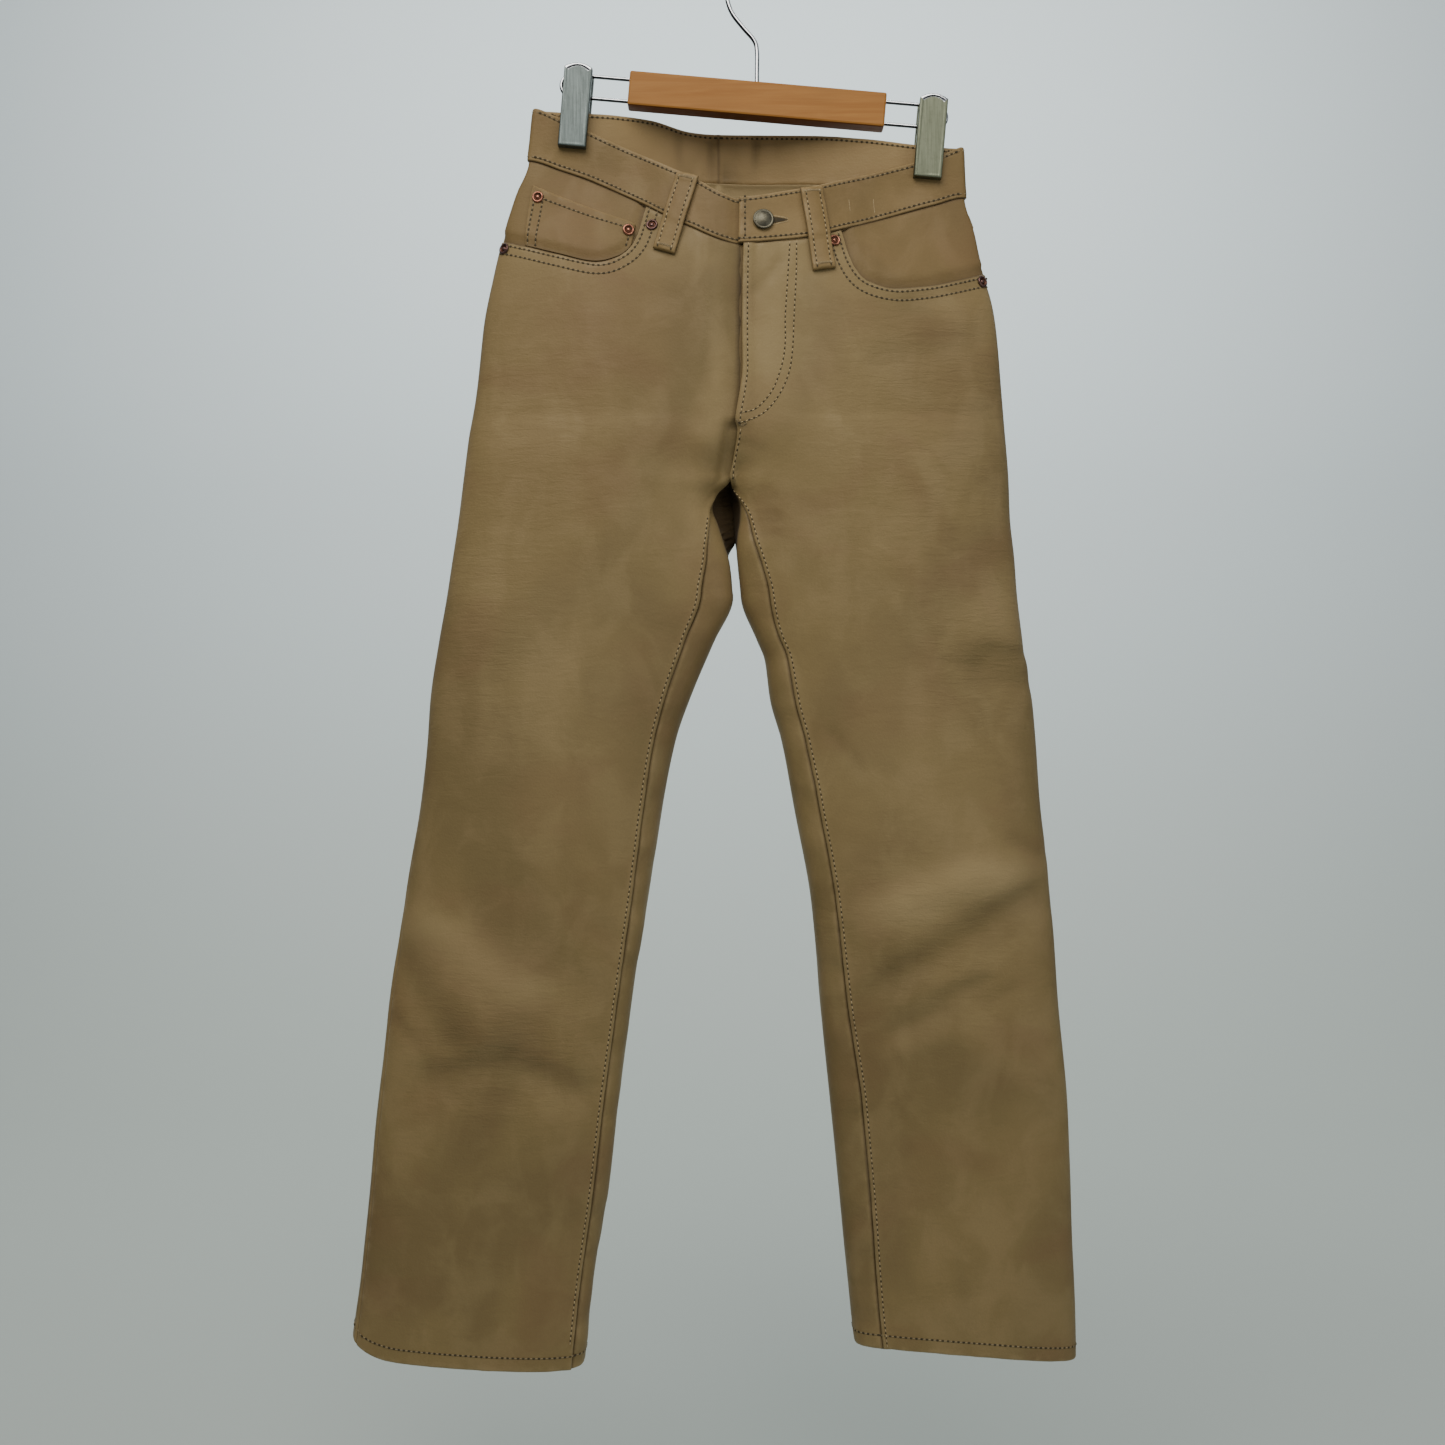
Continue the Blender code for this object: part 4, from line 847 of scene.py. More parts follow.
@made_once
def stage_material(name, colour):
    """Matt studio paper, with painted shade that darkens it towards the floor."""
    made, tree, shader, place = new_material(name)
    shade = ramp(tree, noise(tree, place, 1.6, 2.0), 0.2, 0.8, 0.97, 1.0)
    tone = mix_colour(tree, shade, toned(colour, 0.9), toned(colour))
    height = node(tree, "ShaderNodeSeparateXYZ", {0: place}).outputs["Z"]
    low = (*(c * share for c, share in zip(colour, PAPER_FLOOR_SHADE)), 1)
    feed(tree, shader, {
        "Base Color": mix_colour(tree, ramp(tree, height, -1.75, 0.45), low, tone), "Roughness": 0.9})
    return made


# Leather pieces.
FLY_FOOT = -394.0
FLY_UNDERLAP = 5.4
SETTLED_ROW = 0.6
COLUMN_CROWD = 0.33
RISE_STEP = 4.2
RISE_UNDERLAP = 3.6
SEAM_GAP = 0.1
HEM_CORNER_WIDTH = 44.0
HEM_CORNER_LIFT = 16.0


def fly_shift(z):
    """How far the fly's edge lies right of the centre line, above its foot."""
    return 4.8 * smooth((z + 386.0) / 46.0)


def hem_height(side, evenly):
    """Height of the hem, from the leg's outer side to its inner side."""
    outer, rise = HEM[side]
    return outer + rise * (1 - np.cos(evenly * math.pi)) / 2


def leg_turn(side, face, height):
    """Angles of a leg panel's outer and inner seams."""
    start = np.radians(HALF[side].read("outseam", height))
    return start, face * math.pi - np.radians(HALF[side].read("inseam", height))


def panel_places(side, face, top_shares, top_heights, leg_shares, seat_shares):
    """Angles and heights of a leg panel's grid, from the hem to its top edge."""
    top_angles = face * share_angle(top_shares)
    evenly = even_columns(len(top_shares))
    hem = hem_height(side, evenly)
    angles, heights = [], []
    for row in leg_shares:
        height = hem + (CROTCH_HEIGHT - hem) * row
        start, end = leg_turn(side, face, height)
        angles.append(start + (end - start) * evenly)
        heights.append(height)
    even_top = np.interp(evenly, (0.0, 1.0), (top_heights[0], top_heights[-1]))
    for row in seat_shares[1:]:
        top = even_top + (top_heights - even_top) * above(row, 0.35, 0.65)
        height = CROTCH_HEIGHT + (top - CROTCH_HEIGHT) * row
        end = face * span(face, height)
        placed = top_angles / top_angles[-1] * end
        angles.append(evenly * end + (placed - evenly * end) * smooth(row / SETTLED_ROW))
        heights.append(height)
    return np.array(angles), np.array(heights)


FOLD_EASE = 1.2
FOLD_BLEND = 1.5

# Where lines across show: centre (x, z), half sizes, weight.
WORKED = (
    (150, -380, 95, 150, 0.5), (180, -560, 60, 90, 0.5), (150, -800, 90, 90, 0.35),
    (-190, -400, 90, 120, 0.35), (-220, -560, 70, 120, 0.4), (-210, -890, 90, 80, 0.45),
)


def even_columns(count):
    """Column shares that crowd a little towards a panel's two side seams."""
    t = np.linspace(0.0, 1.0, count)
    return t - COLUMN_CROWD * np.sin(2 * math.pi * t) / (2 * math.pi)


def eased_folds(side, face, x, z):
    """The main folds, wider and softer than in the solids, so that they run into each other."""
    each = [crease(row, x, z, FOLD_EASE) for row in FOLDS[side, face]]
    low = -np.log1p(sum(np.expm1(-FOLD_BLEND * np.minimum(fold, 0.0)) for fold in each)) / FOLD_BLEND
    high = np.log1p(sum(np.expm1(FOLD_BLEND * np.maximum(fold, 0.0)) for fold in each)) / FOLD_BLEND
    return low, high


def surface_relief(side, face, points):
    """Creases and waves of a leg's surface."""
    x, z = points[..., 0], points[..., 2]
    fine = creases(CREASES, side, face, x, z) + 0.95 * sum(eased_folds(side, face, x, z))
    fine -= creases(FOLDS, side, face, x, z)
    broad = BROAD.read(x / 62.0 + 40, z / 105.0 + 40) * 0.9
    return fine + (broad + ripples(x, z, 24.0, 46.0, 30, 0.28)) * below(z, -215.0, 90.0)


def worked_mask(points):
    """Where the leather shows fine lines across: the wearer's hips, thighs and knees."""
    x, z = points[..., 0], points[..., 2]
    return np.maximum.reduce([weight * oval(x, z, *spot) for *spot, weight in WORKED])


# Painted highlights and paler leather where the amount is over 0, redder tint where it is below 0, by half
# and face: centre (x, z), half sizes, amount.
PATCHES = {
    ("left", FRONT): (
        (-34, -340, 9, 60, 0.42), (-50, -470, 20, 90, 0.20), (-125, -300, 80, 60, -0.5),
        (-165, -600, 60, 90, 0.3), (-170, -430, 50, 60, -0.25), (-262, -800, 30, 22, 0.35),
        (-228, -826, 34, 24, 0.45), (-188, -850, 32, 20, 0.32), (-250, -776, 16, 10, -0.4),
    ),
    ("left", BACK): (
        (-110, -330, 60, 60, 0.25), (-210, -700, 60, 90, 0.12),
    ),
    ("right", FRONT): (
        (8, -320, 26, 70, 0.55), (60, -330, 40, 60, 0.18), (184, -758, 45, 19, 1.15),
        (120, -781, 40, 19, 0.95), (115, -612, 50, 70, 0.22), (130, -700, 60, 50, 0.18),
        (176, -540, 34, 22, 0.22), (150, -330, 50, 50, -0.25), (70, -960, 50, 120, -0.15),
    ),
    ("right", BACK): (
        (80, -330, 60, 60, 0.25), (150, -700, 60, 90, 0.12),
    ),
}


def highlight_and_tint(side, face, points):
    """Painted highlights and paler leather where it is over 0, a redder tint where it is below 0."""
    x, z = points[..., 0], points[..., 2]
    return np.clip(sum(amount * oval(x, z, *spot) for *spot, amount in PATCHES[side, face]), -1.0, 1.0)


def pucker(distance, along, seed_row, reach=11.0, height=0.35):
    """Small waves beside a stitched seam."""
    wave = PUCKER.read(along / 8.5, np.full(np.shape(along), float(seed_row)))
    return height * wave * fades(distance, reach)


def rise_hold(z):
    """1 along the rise seam below the fly."""
    return above(z, -441.0, 10.0) * fades(z, 8.0, -392.0)


def fork_shut(z):
    """1 above the height where the backs meet, 0 below it."""
    return above(z, FORK_CLOSED - 22.0, 22.0)


def fly_zone(z):
    return above(z, FLY_FOOT, 8.0)


def under_crotch(z):
    return below(z, CROTCH_HEIGHT + 12.0, 14.0)


# Strength of the painted shade along seams and beside the fly.
SEAM_SHADE_AMOUNT = 0.9
FORK_CLOSED = -474.0

# Where the inner sides of the legs lie just under the crotch, by height.
FORK = {
    "left": Table(("height", "inner"), (
        (-529.0, -20.5), (-515.0, -21.5), (-500.0, -23.3), (-487.0, -27.0), (-474.0, -31.0), (-464.0, -34.0),
        (-455.0, -37.0), (-443.0, -35.0), (-436.0, -27.5), (-431.0, -23.4),
    )),
    "right": Table(("height", "inner"), (
        (-529.0, -12.5), (-515.0, -13.8), (-500.0, -15.2), (-487.0, -16.0), (-476.0, -15.4), (-466.0, -14.0),
        (-455.0, -13.8), (-446.0, -15.6), (-438.0, -18.6), (-431.0, -20.9),
    )),
}


def close_rise_seam(side, points):
    """Bring the fronts forward beside the rise seam; the left one lies a step lower, under the right."""
    x, z = points[..., 0], points[..., 2]
    away = np.abs(x - centre(FRONT, z))
    level = DEPTH.read("front", z) - 15.0 * below(z, -380.0, 50.0)
    held = rise_hold(z)
    if side == "right":
        near = held * fades(away, 20.0, 1.0)
        points[..., 1] = -np.maximum(-points[..., 1], level * near)
        return
    near = held * fades(away, 6.0, 7.5)
    points[..., 1] += (-(level - RISE_STEP) - points[..., 1]) * near
    points[..., 0] += RISE_UNDERLAP * held * fades(away, 4.0)


def part_legs(side, points):
    """Draw the inner sides of the legs apart under the crotch; behind, the backs still meet."""
    x, y, z = points[..., 0], points[..., 1], points[..., 2]
    here = below(z, -430.0, 2.0) * above(z, -529.0, 8.0)
    line = inner(side, FRONT, z)
    shift = (FORK[side].read("inner", z) - line) * here
    points[..., 0] = x + shift * fades(np.abs(x - line), 56.0) * (1 - fork_shut(z) * above(y, -2.0, 10.0))


def close_fork(side, points):
    """Let the backs meet under the crotch."""
    z = points[..., 2]
    near = fades(np.abs(points[..., 0] - inner(side, BACK, z)), 14.0, 1.0)
    shut = fork_shut(z) * near * above(points[..., 1], 4.0, 6.0)
    points[..., 0] += (centre(BACK, z) - points[..., 0]) * shut * 0.96


def round_corner(side, points):
    """Lift the outer corner of the left hem, which is worn round."""
    if side == "right":
        return
    x, z = points[..., 0], points[..., 2]
    share = np.clip((x - HALF[side].read("outer", z)) / HEM_CORNER_WIDTH, 0.0, 1.0)
    lift = HEM_CORNER_LIFT * (1 - np.sqrt(1 - (1 - share) ** 2))
    points[..., 2] = z + lift * fades(z, 70.0, HEM[side][0] + 4.0)


def hollow_shade(points):
    """Darkness between the backs, where the legs part under the crotch."""
    x, y, z = points[..., 0], points[..., 1], points[..., 2]
    height = below(z, -430.0, 4.0) * fades(-z, 12.0, 484.0)
    return height * above(y, -12.0, 8.0) * fades(np.abs(x + 25.0), 6.0, 14.0) * fades(y, 5.0, 9.0)


def panel_grid(side, face, looks):
    """The middle of a leg panel's leather and its directions, from the hem to the top edge."""
    leg_shares = spread(looks.leg_rows, near=(0.0, 0.0007, 0.0016, 0.0028, 0.0045, 0.0065, 0.009), both=False)
    seat_shares = np.concatenate((np.linspace(0.0, 0.955, looks.seat_rows),
                                  (0.965, 0.974, 0.982, 0.988, 0.993, 0.997, 1.0)))
    if face == FRONT:
        corner = pocket_corner(side)
        opening = spread(24, near=(0.0, 0.012, 0.03, 0.055)) * corner
        fly = corner + (1 - corner) * spread(30, near=(0.0, 0.01, 0.025, 0.05))[1:]
        shares = np.concatenate((opening, fly))
        tops = np.concatenate((opening_height(side, opening), waist_height(side, FRONT, fly, "bottom")))
    else:
        shares = spread(58, near=(0.0, 0.003, 0.008, 0.015, 0.024))
        tops = yoke_seam(side, shares)
    return leather_with_normals(side, *panel_places(side, face, shares, tops, leg_shares, seat_shares))


def panel_relief(side, face, points, away):
    """Height of a leg panel's surface over the middle of its leather."""
    x, z = points[..., 0], points[..., 2]
    calm = smooth(np.minimum(away["high"], away["low"]) / 14.0)
    relief = surface_relief(side, face, points) * (0.25 + 0.75 * calm)
    if face == FRONT:
        relief += 0.9 * fades(away["end"], 8.5) * under_crotch(z)
    else:
        wave = PUCKER.read(z / 17.0, np.full(z.shape, 7.0))
        relief += 1.5 * wave * fades(away["end"], 40.0) * under_crotch(z)
    relief += pucker(away["end"], z, 3 if side == "left" else 5)
    relief += pucker(away["low"], x, 9, 16.0, 0.4)
    return relief + pucker(away["high"], x, 15 if face == FRONT else 17, 13.0, 0.3)


def lap_fly(side, points, away):
    """Lap the right front over the left one at the fly; gives the relief that goes with it."""
    z = points[..., 2]
    lap = fly_zone(z) * fades(away["end"], 16.0)
    if side == "right":
        points[..., 0] += (fly_shift(z) - 2.6) * lap
        return 1.6 * fly_zone(z) * fades(away["end"], 6.0, 7.0)
    points[..., 0] += FLY_UNDERLAP * lap
    swell = 1.6 * below(z, -250.0, 30.0) * above(z, -385.0, 30.0) * bell(away["end"] - 20.0, 8.0)
    gather = 3.4 * below(z, -384.0, 20.0) * above(z, -560.0, 90.0) * bell(points[..., 0] + 46.0, 12.0)
    return swell + gather - 4.2 * fly_zone(z) * fades(away["end"], 15.0)


def keep_to_side(side, face, points):
    """Keep a panel on its own side of the middle seam, apart from the fly's underlap."""
    x, z = points[..., 0], points[..., 2]
    limit = centre(face, z)
    if side == "left":
        lap = RISE_UNDERLAP * rise_hold(z) + FLY_UNDERLAP * fly_zone(z) if face == FRONT else 0.0
        points[..., 0] = np.minimum(x, limit - SEAM_GAP + lap)
    elif face == BACK:
        points[..., 0] = np.maximum(x, limit + SEAM_GAP)


def panel_fold(side, face, points, away):
    """Painted shade in a leg panel's fold hollows, over 0, and painted highlight on its rises, under 0."""
    x, z = points[..., 0], points[..., 2]
    painted = 1.0 if face == FRONT else 0.5
    fold = -eased_folds(side, face, x, z)[0] * 0.085 * painted
    fold -= creases(CREASES, side, face, x, z) * 0.2 * painted
    # Painted shade on the left front beside the fly and the rise seam.
    if (side, face) == ("left", FRONT):
        fold += 0.4 * above(z, -440.0, 10.0) * fades(away["end"], 9.0, 4.0)
    return np.clip(fold, -1, 1)


def make_leg_panel(side, face, looks, material):
    points, normals = panel_grid(side, face, looks)
    away = border_distances(points)
    edge = nearest(away)
    relief = panel_relief(side, face, points, away)
    shadow = seam_shadow(away["high"])
    part_legs(side, points)
    round_corner(side, points)
    z = points[..., 2]
    if face == FRONT:
        close_rise_seam(side, points)
        relief += lap_fly(side, points, away)
    else:
        close_fork(side, points)
        # Painted shade along the inseam and the side seam, and in the hollow under the crotch.
        inseam = SEAM_SHADE_AMOUNT * fades(away["end"], 2.6) * under_crotch(z)
        shadow = np.maximum.reduce((shadow, hollow_shade(points), inseam, 0.3 * fades(away["start"], 1.6)))
    # Painted shade on the left front, under the fly's edge.
    if (side, face) == ("left", FRONT):
        shadow = np.maximum(shadow, SEAM_SHADE_AMOUNT * fades(away["end"], 5.0, 3.0) * fly_zone(z))
    keep_to_side(side, face, points)
    values = {"seam": edge_wear(edge), "fold": panel_fold(side, face, points, away),
              "worked": worked_mask(points), "rim": rubbed_and_lit_rim(edge) * (1 - shadow), "shadow": shadow,
              "highlight_and_tint": highlight_and_tint(side, face, points)}
    return skin(panel_name(side, face), points, normals, LEATHER / 2 + relief - rounded(edge, 1.15, 1.5),
                LEATHER / 2 + 2.1 * fades(edge, 6.0) - relief, material, values)


def make_yoke(side, material):
    shares = spread(44, near=(0.0, 0.003, 0.008, 0.015, 0.024))
    rows = spread(12, near=(0.0, 0.01, 0.025, 0.045, 0.075))[:, None]
    low, high = yoke_seam(side, shares), waist_height(side, BACK, shares, "bottom")
    heights = low + (high - low) * rows
    angles = np.broadcast_to(-share_angle(shares), heights.shape)
    points, normals = leather_with_normals(side, angles, heights)
    x, z = points[..., 0], points[..., 2]
    away = border_distances(points)
    edge = nearest(away)
    relief = 0.8 * fades(away["low"], 5.0, 9.0) + pucker(away["low"], x, 17, 13.0, 0.3)
    relief += ripples(x, z, 21.0, 30.0, 9, 0.3)
    shadow = seam_shadow(away["high"])
    # Painted shade under the waistband's edge. The inside is paler: partly the flesh side's own colour,
    # partly painted light.
    values = {"seam": edge_wear(edge), "fold": 0.0, "worked": 0.2, "rim": rubbed_and_lit_rim(edge) * (1 - shadow),
              "shadow": (shadow, 0.2 * shadow), "highlight_and_tint": (0.0, 1.0)}
    return skin("yoke_" + side, points, normals, LEATHER / 2 + relief - rounded(edge, 1.15, 1.4),
                LEATHER / 2 + 2.1 * fades(edge, 6.0) - relief, material, values)


FACING_OVERLAP = 12.0
FACING_SINK = 2.8
FACING_LEVEL = (1.5, 10.0)
EDGE_SAMPLES = 160


def opening_distance(side, x, height):
    table = OPENING[side]
    across = np.linspace(table.rows[0, 0], table.rows[-1, 0], EDGE_SAMPLES)
    edge = table.read("height", across)
    away = np.hypot(x[..., None] - across, height[..., None] - edge).min(axis=-1)
    corner = across[-1] if side == "left" else across[0]
    outside = x < corner if side == "left" else x > corner
    shows = outside & (height > table.read("height", x))
    return np.where(shows, away, -away)


def facing_sink(side, points):
    away = opening_distance(side, points[..., 0], points[..., 2])
    near, far = FACING_LEVEL
    return FACING_SINK * fades(away, far - near, near)


def make_facing(side, material):
    corner = pocket_corner(side)
    shares = np.append(spread(40, near=(0.0, 0.012, 0.03, 0.055)) * corner, corner + 0.05)
    high = waist_height(side, FRONT, shares, "bottom")
    edge_height = opening_height(side, shares)
    lowest = edge_height.argmin()
    edge_height[lowest:] = edge_height[lowest]
    low = edge_height - FACING_OVERLAP
    heights = low + (high - low) * spread(26, near=(0.0, 0.01, 0.025, 0.05))[:, None]
    points, normals = leather_with_normals(side, np.broadcast_to(share_angle(shares), heights.shape), heights)
    points = points - normals * facing_sink(side, points)[..., None]
    x, z = points[..., 0], points[..., 2]
    away = border_distances(points)
    relief = ripples(x, z, 26.0, 20.0, 3, 0.35)
    # Painted shadow along the pocket opening and under the waistband, also painted into the folds.
    shadow = np.maximum(0.34 * fades(opening_distance(side, x, z), 4.0, 0.2), seam_shadow(away["high"]))
    values = {"seam": 0.0, "fold": shadow * 0.3, "worked": 0.15, "rim": 0.0, "shadow": shadow}
    return skin("facing_" + side, points, normals, LEATHER / 2 + relief - rounded(nearest(away), 1.0, 1.2),
                LEATHER / 2 - relief, material, values)


COIN_TOP = ((-185.5, -189.0), (-99.5, -222.5))
COIN_TOP_LEVEL = -205.0
COIN_FOOT = (-191.0, -103.0)
COIN_GAP = 0.7


def make_coin_pocket(material):
    (x0, z0), (x1, z1) = COIN_TOP
    ends = [[share_at("left", x, OPENING["left"].read("height", x)) for x in COIN_FOOT],
            [share_at("left", x, z) for x, z in COIN_TOP]]
    t = spread(30, near=(0.0, 0.006, 0.014, 0.026))
    foot, top = (first + (last - first) * t for first, last in ends)
    low = opening_height("left", foot) + COIN_GAP
    high = z0 + (z1 - z0) * (across_at("left", FRONT, top, COIN_TOP_LEVEL) - x0) / (x1 - x0)
    rows = spread(18, near=(0.0, 0.012, 0.03, 0.055))[:, None]
    angles = share_angle(foot) + (share_angle(top) - share_angle(foot)) * rows
    points, normals = leather_with_normals("left", angles, low + (high - low) * rows)
    points = points + normals * (LEATHER + LAYER_GAP - facing_sink("left", points))[..., None]
    away = border_distances(points)
    edge = nearest(away, ("high", "start", "end"))
    relief = 0.5 * fades(away["high"], 3.0, 9.0)
    relief += ripples(points[..., 0], points[..., 2], 22.0, 22.0, 13, 0.3)
    values = {"seam": edge_wear(edge), "fold": 0.0, "worked": 0.15, "rim": rubbed_and_lit_rim(edge, 2.0),
              "shadow": 0.3 * fades(away["low"], 3.0, 0.4)}
    return skin("coin_pocket", points, normals, LEATHER / 2 + relief - rounded(edge, 1.2, 1.4), LEATHER / 2,
                material, values)


FLY_SHIELD = {"left": -6.0, "right": 36.0, "bottom": -378.0, "foot_width": 0.55, "foot_share": 0.4}


def make_fly_shield(material):
    across = np.linspace(FLY_SHIELD["left"], FLY_SHIELD["right"], 14)
    rows = np.linspace(0.0, 1.0, 40)[:, None]
    top = WAIST[FRONT].read("bottom", centre(FRONT, -240.0) + across) - 1.0
    heights = FLY_SHIELD["bottom"] + (top - FLY_SHIELD["bottom"]) * rows
    foot = FLY_SHIELD["foot_width"]
    x = centre(FRONT, heights) + across * (foot + (1 - foot) * smooth(rows / FLY_SHIELD["foot_share"]))
    points, normals = face_with_normals(FRONT, x, heights)
    # Painted shade over the whole fly shield, which lies under the fly.
    values = {"seam": 0.0, "fold": 0.3, "worked": 0.0, "rim": 0.0, "shadow": 0.0}
    points = points - normals * (LEATHER + LAYER_GAP + 1.2)
    return skin("fly_shield", points, normals, LEATHER / 2, LEATHER / 2, material,
                values)


UNDERLAP = {"ramp": 14.0, "length": 32.0, "stations": 14, "level": -220.0}


def band_grid(side):
    """The middle of half the waistband, and how many of its columns lie on the back."""
    rows = spread(14, near=(0.0, 0.012, 0.03, 0.055, 0.09))[:, None]
    columns = spread(56, near=(0.0, 0.0008, 0.0018, 0.004, 0.008, 0.0128, 0.024, 0.04))
    grids = []
    for face, shares in ((BACK, columns[::-1]), (FRONT, columns[1:])):
        low, high = (waist_height(side, face, shares, edge) for edge in ("bottom", "top"))
        heights = low + (high - low) * rows
        angles = np.broadcast_to(face * share_angle(shares), heights.shape)
        grids.append(leather_with_normals(side, angles, heights))
    points, normals = (np.concatenate((grids[0][i], grids[1][i]), axis=1) for i in (0, 1))
    if side == "left":
        edge = centre(FRONT, UNDERLAP["level"])
        across = edge + 1.0 + np.linspace(0.0, UNDERLAP["length"], UNDERLAP["stations"])
        low, high = WAIST[FRONT].read("bottom", across), WAIST[FRONT].read("top", across)
        lap_points, lap_normals = face_with_normals(FRONT, across, low + (high - low) * rows)
        points = np.concatenate((points, lap_points), axis=1)
        normals = np.concatenate((normals, lap_normals), axis=1)
        sink = (BAND + LAYER_GAP) * above(points[..., 0], edge - UNDERLAP["ramp"], UNDERLAP["ramp"] - 1.0)
        sink[:, : len(columns)] = 0.0
        points = points - normals * sink[..., None]
    return points, normals, len(columns)


def make_band(side, material):
    """Half of the waistband, from the centre back round the fold to the centre front."""
    points, normals, back_columns = band_grid(side)
    z = points[..., 2]
    away = border_distances(points)
    edge = nearest(away, ("low", "high", "end"))
    on_back = np.arange(points.shape[1]) < back_columns
    along = np.where(on_back, -points[..., 0], points[..., 0])
    join = away["start"]
    stitched = np.minimum(np.abs(away["low"] - 2.7), np.abs(away["high"] - 2.7))
    relief = pucker(away["low"], along, 21, 9.0, 0.28) + pucker(away["high"], along, 23, 9.0, 0.28)
    relief += ripples(along, z, 30.0, 26.0, 5, 0.35) - 0.35 * bell(stitched, 1.1) - 0.9 * bell(join, 1.6)
    rumpled = bell(join, 26.0) * above(away["high"], 4.0, 8.0)
    relief += 2.3 * rumpled * PUCKER.read(along / 7.0 + 9, z / 15.0 + 9)
    inside = bell(join, 34.0) * PUCKER.read(along / 9.5 + 4, z / 24.0 + 2)
    inside *= smooth(join / 5.0) * smooth(away["high"] / 4.0)
    if side == "right":
        points[..., 0] -= 2.0 * fades(away["end"], 12.0)
    # Painted shade: a line under the front's lower edge, the dips and rumples, and under the inside top edge.
    # Painted light: the rumples' rises, a patch by the front's middle and the inside of the back.
    low_line = 0.6 * fades(away["low"], 1.3) * ~on_back
    inside_top_shade = 0.34 * fades(away["high"], 13.0) * bell(points[..., 0] + 36.0, 52.0)
    values = {"seam": edge_wear(edge), "worked": 0.15, "rim": rubbed_and_lit_rim(edge) * (1 - low_line),
              "fold": (np.clip(-relief * 0.5, 0, 1), np.clip(-2.0 * inside, -0.9, 1.0) + inside_top_shade),
              "shadow": np.maximum(low_line, 0.5 * bell(join, 1.5)),
              "highlight_and_tint": (0.15 * bell(points[..., 0], 60.0), 0.8 * on_back)}
    round_off = rounded(edge, 1.5, 1.7)
    return skin("band_" + side, points, normals, BAND / 2 + relief - round_off,
                BAND / 2 - relief * 0.5 - round_off + 1.5 * inside, material,
                values)


LOOP_WIDTH = 18.6
LOOP_BULGE = 2.2
LOOP_LIFT = 0.5
LOOP_STEP = 5.0
LOOP_ROW = 5.6
LOOPS = (
    ("loop_front_left", FRONT, (-56.0, -183.5), (-76.0, -249.0)),
    ("loop_front_right", FRONT, (43.0, -194.0), (53.5, -264.0)),
    ("loop_back_left", BACK, (-104.0, -126.0), (-106.0, -193.0)),
    ("loop_back_centre", BACK, (-31.0, -132.5), (-31.0, -199.0)),
    ("loop_back_right", BACK, (64.0, -141.5), (58.0, -208.5)),
)


def loop_places(face, top, bottom, across, down):
    """Places on a loop's strip: across in millimetres from its centre line, down as a share."""
    top, bottom = np.array(top), np.array(bottom)
    run = (bottom - top) / np.linalg.norm(bottom - top)
    side_way = np.array((-run[1], run[0]))
    flat = top + (bottom - top) * down[..., None] + across[..., None] * side_way
    return flat[..., 0], flat[..., 1]


def make_loop(name, face, top, bottom, material):
    across = (spread(9, near=(0.0, 0.03, 0.075)) * 2 - 1) * LOOP_WIDTH / 2
    down = spread(30, near=(0.0, 0.008, 0.02, 0.04))
    down, across = np.meshgrid(down, across, indexing="ij")
    x, z = loop_places(face, top, bottom, across, down)
    points, normals = face_with_normals(face, x, z)
    over_edge = above(z, WAIST[face].read("bottom", x) - LOOP_STEP, 4.0)
    under = LEATHER / 2 + (BAND - LEATHER) / 2 * over_edge
    bow = LOOP_BULGE * np.sin(math.pi * down) ** ROUNDNESS
    points = points + normals * (under + LOOP_LIFT + LOOP / 2 + bow)[..., None]
    away = border_distances(points)
    edge = nearest(away)
    relief = 0.9 * fades(nearest(away, ("low", "high")), 2.0, 6.0)
    relief += 0.45 * np.cos(across / LOOP_WIDTH * math.pi * 2)
    relief -= 0.3 * bell(np.abs(across) - LOOP_ROW, 1.0)
    round_off = rounded(edge, 1.1, 1.4)
    values = {"seam": edge_wear(edge), "fold": 0.0, "worked": 0.1, "rim": rubbed_and_lit_rim(edge, 2.0),
              "shadow": 0.55 * fades(nearest(away, ("start", "end")), 0.9)}
    half = "left" if top[0] < centre(FRONT, WAIST_LEVEL) else "right"
    return skin(name, points, normals, LOOP / 2 + relief - round_off, LOOP / 2 - 0.4 * round_off,
                material, values)


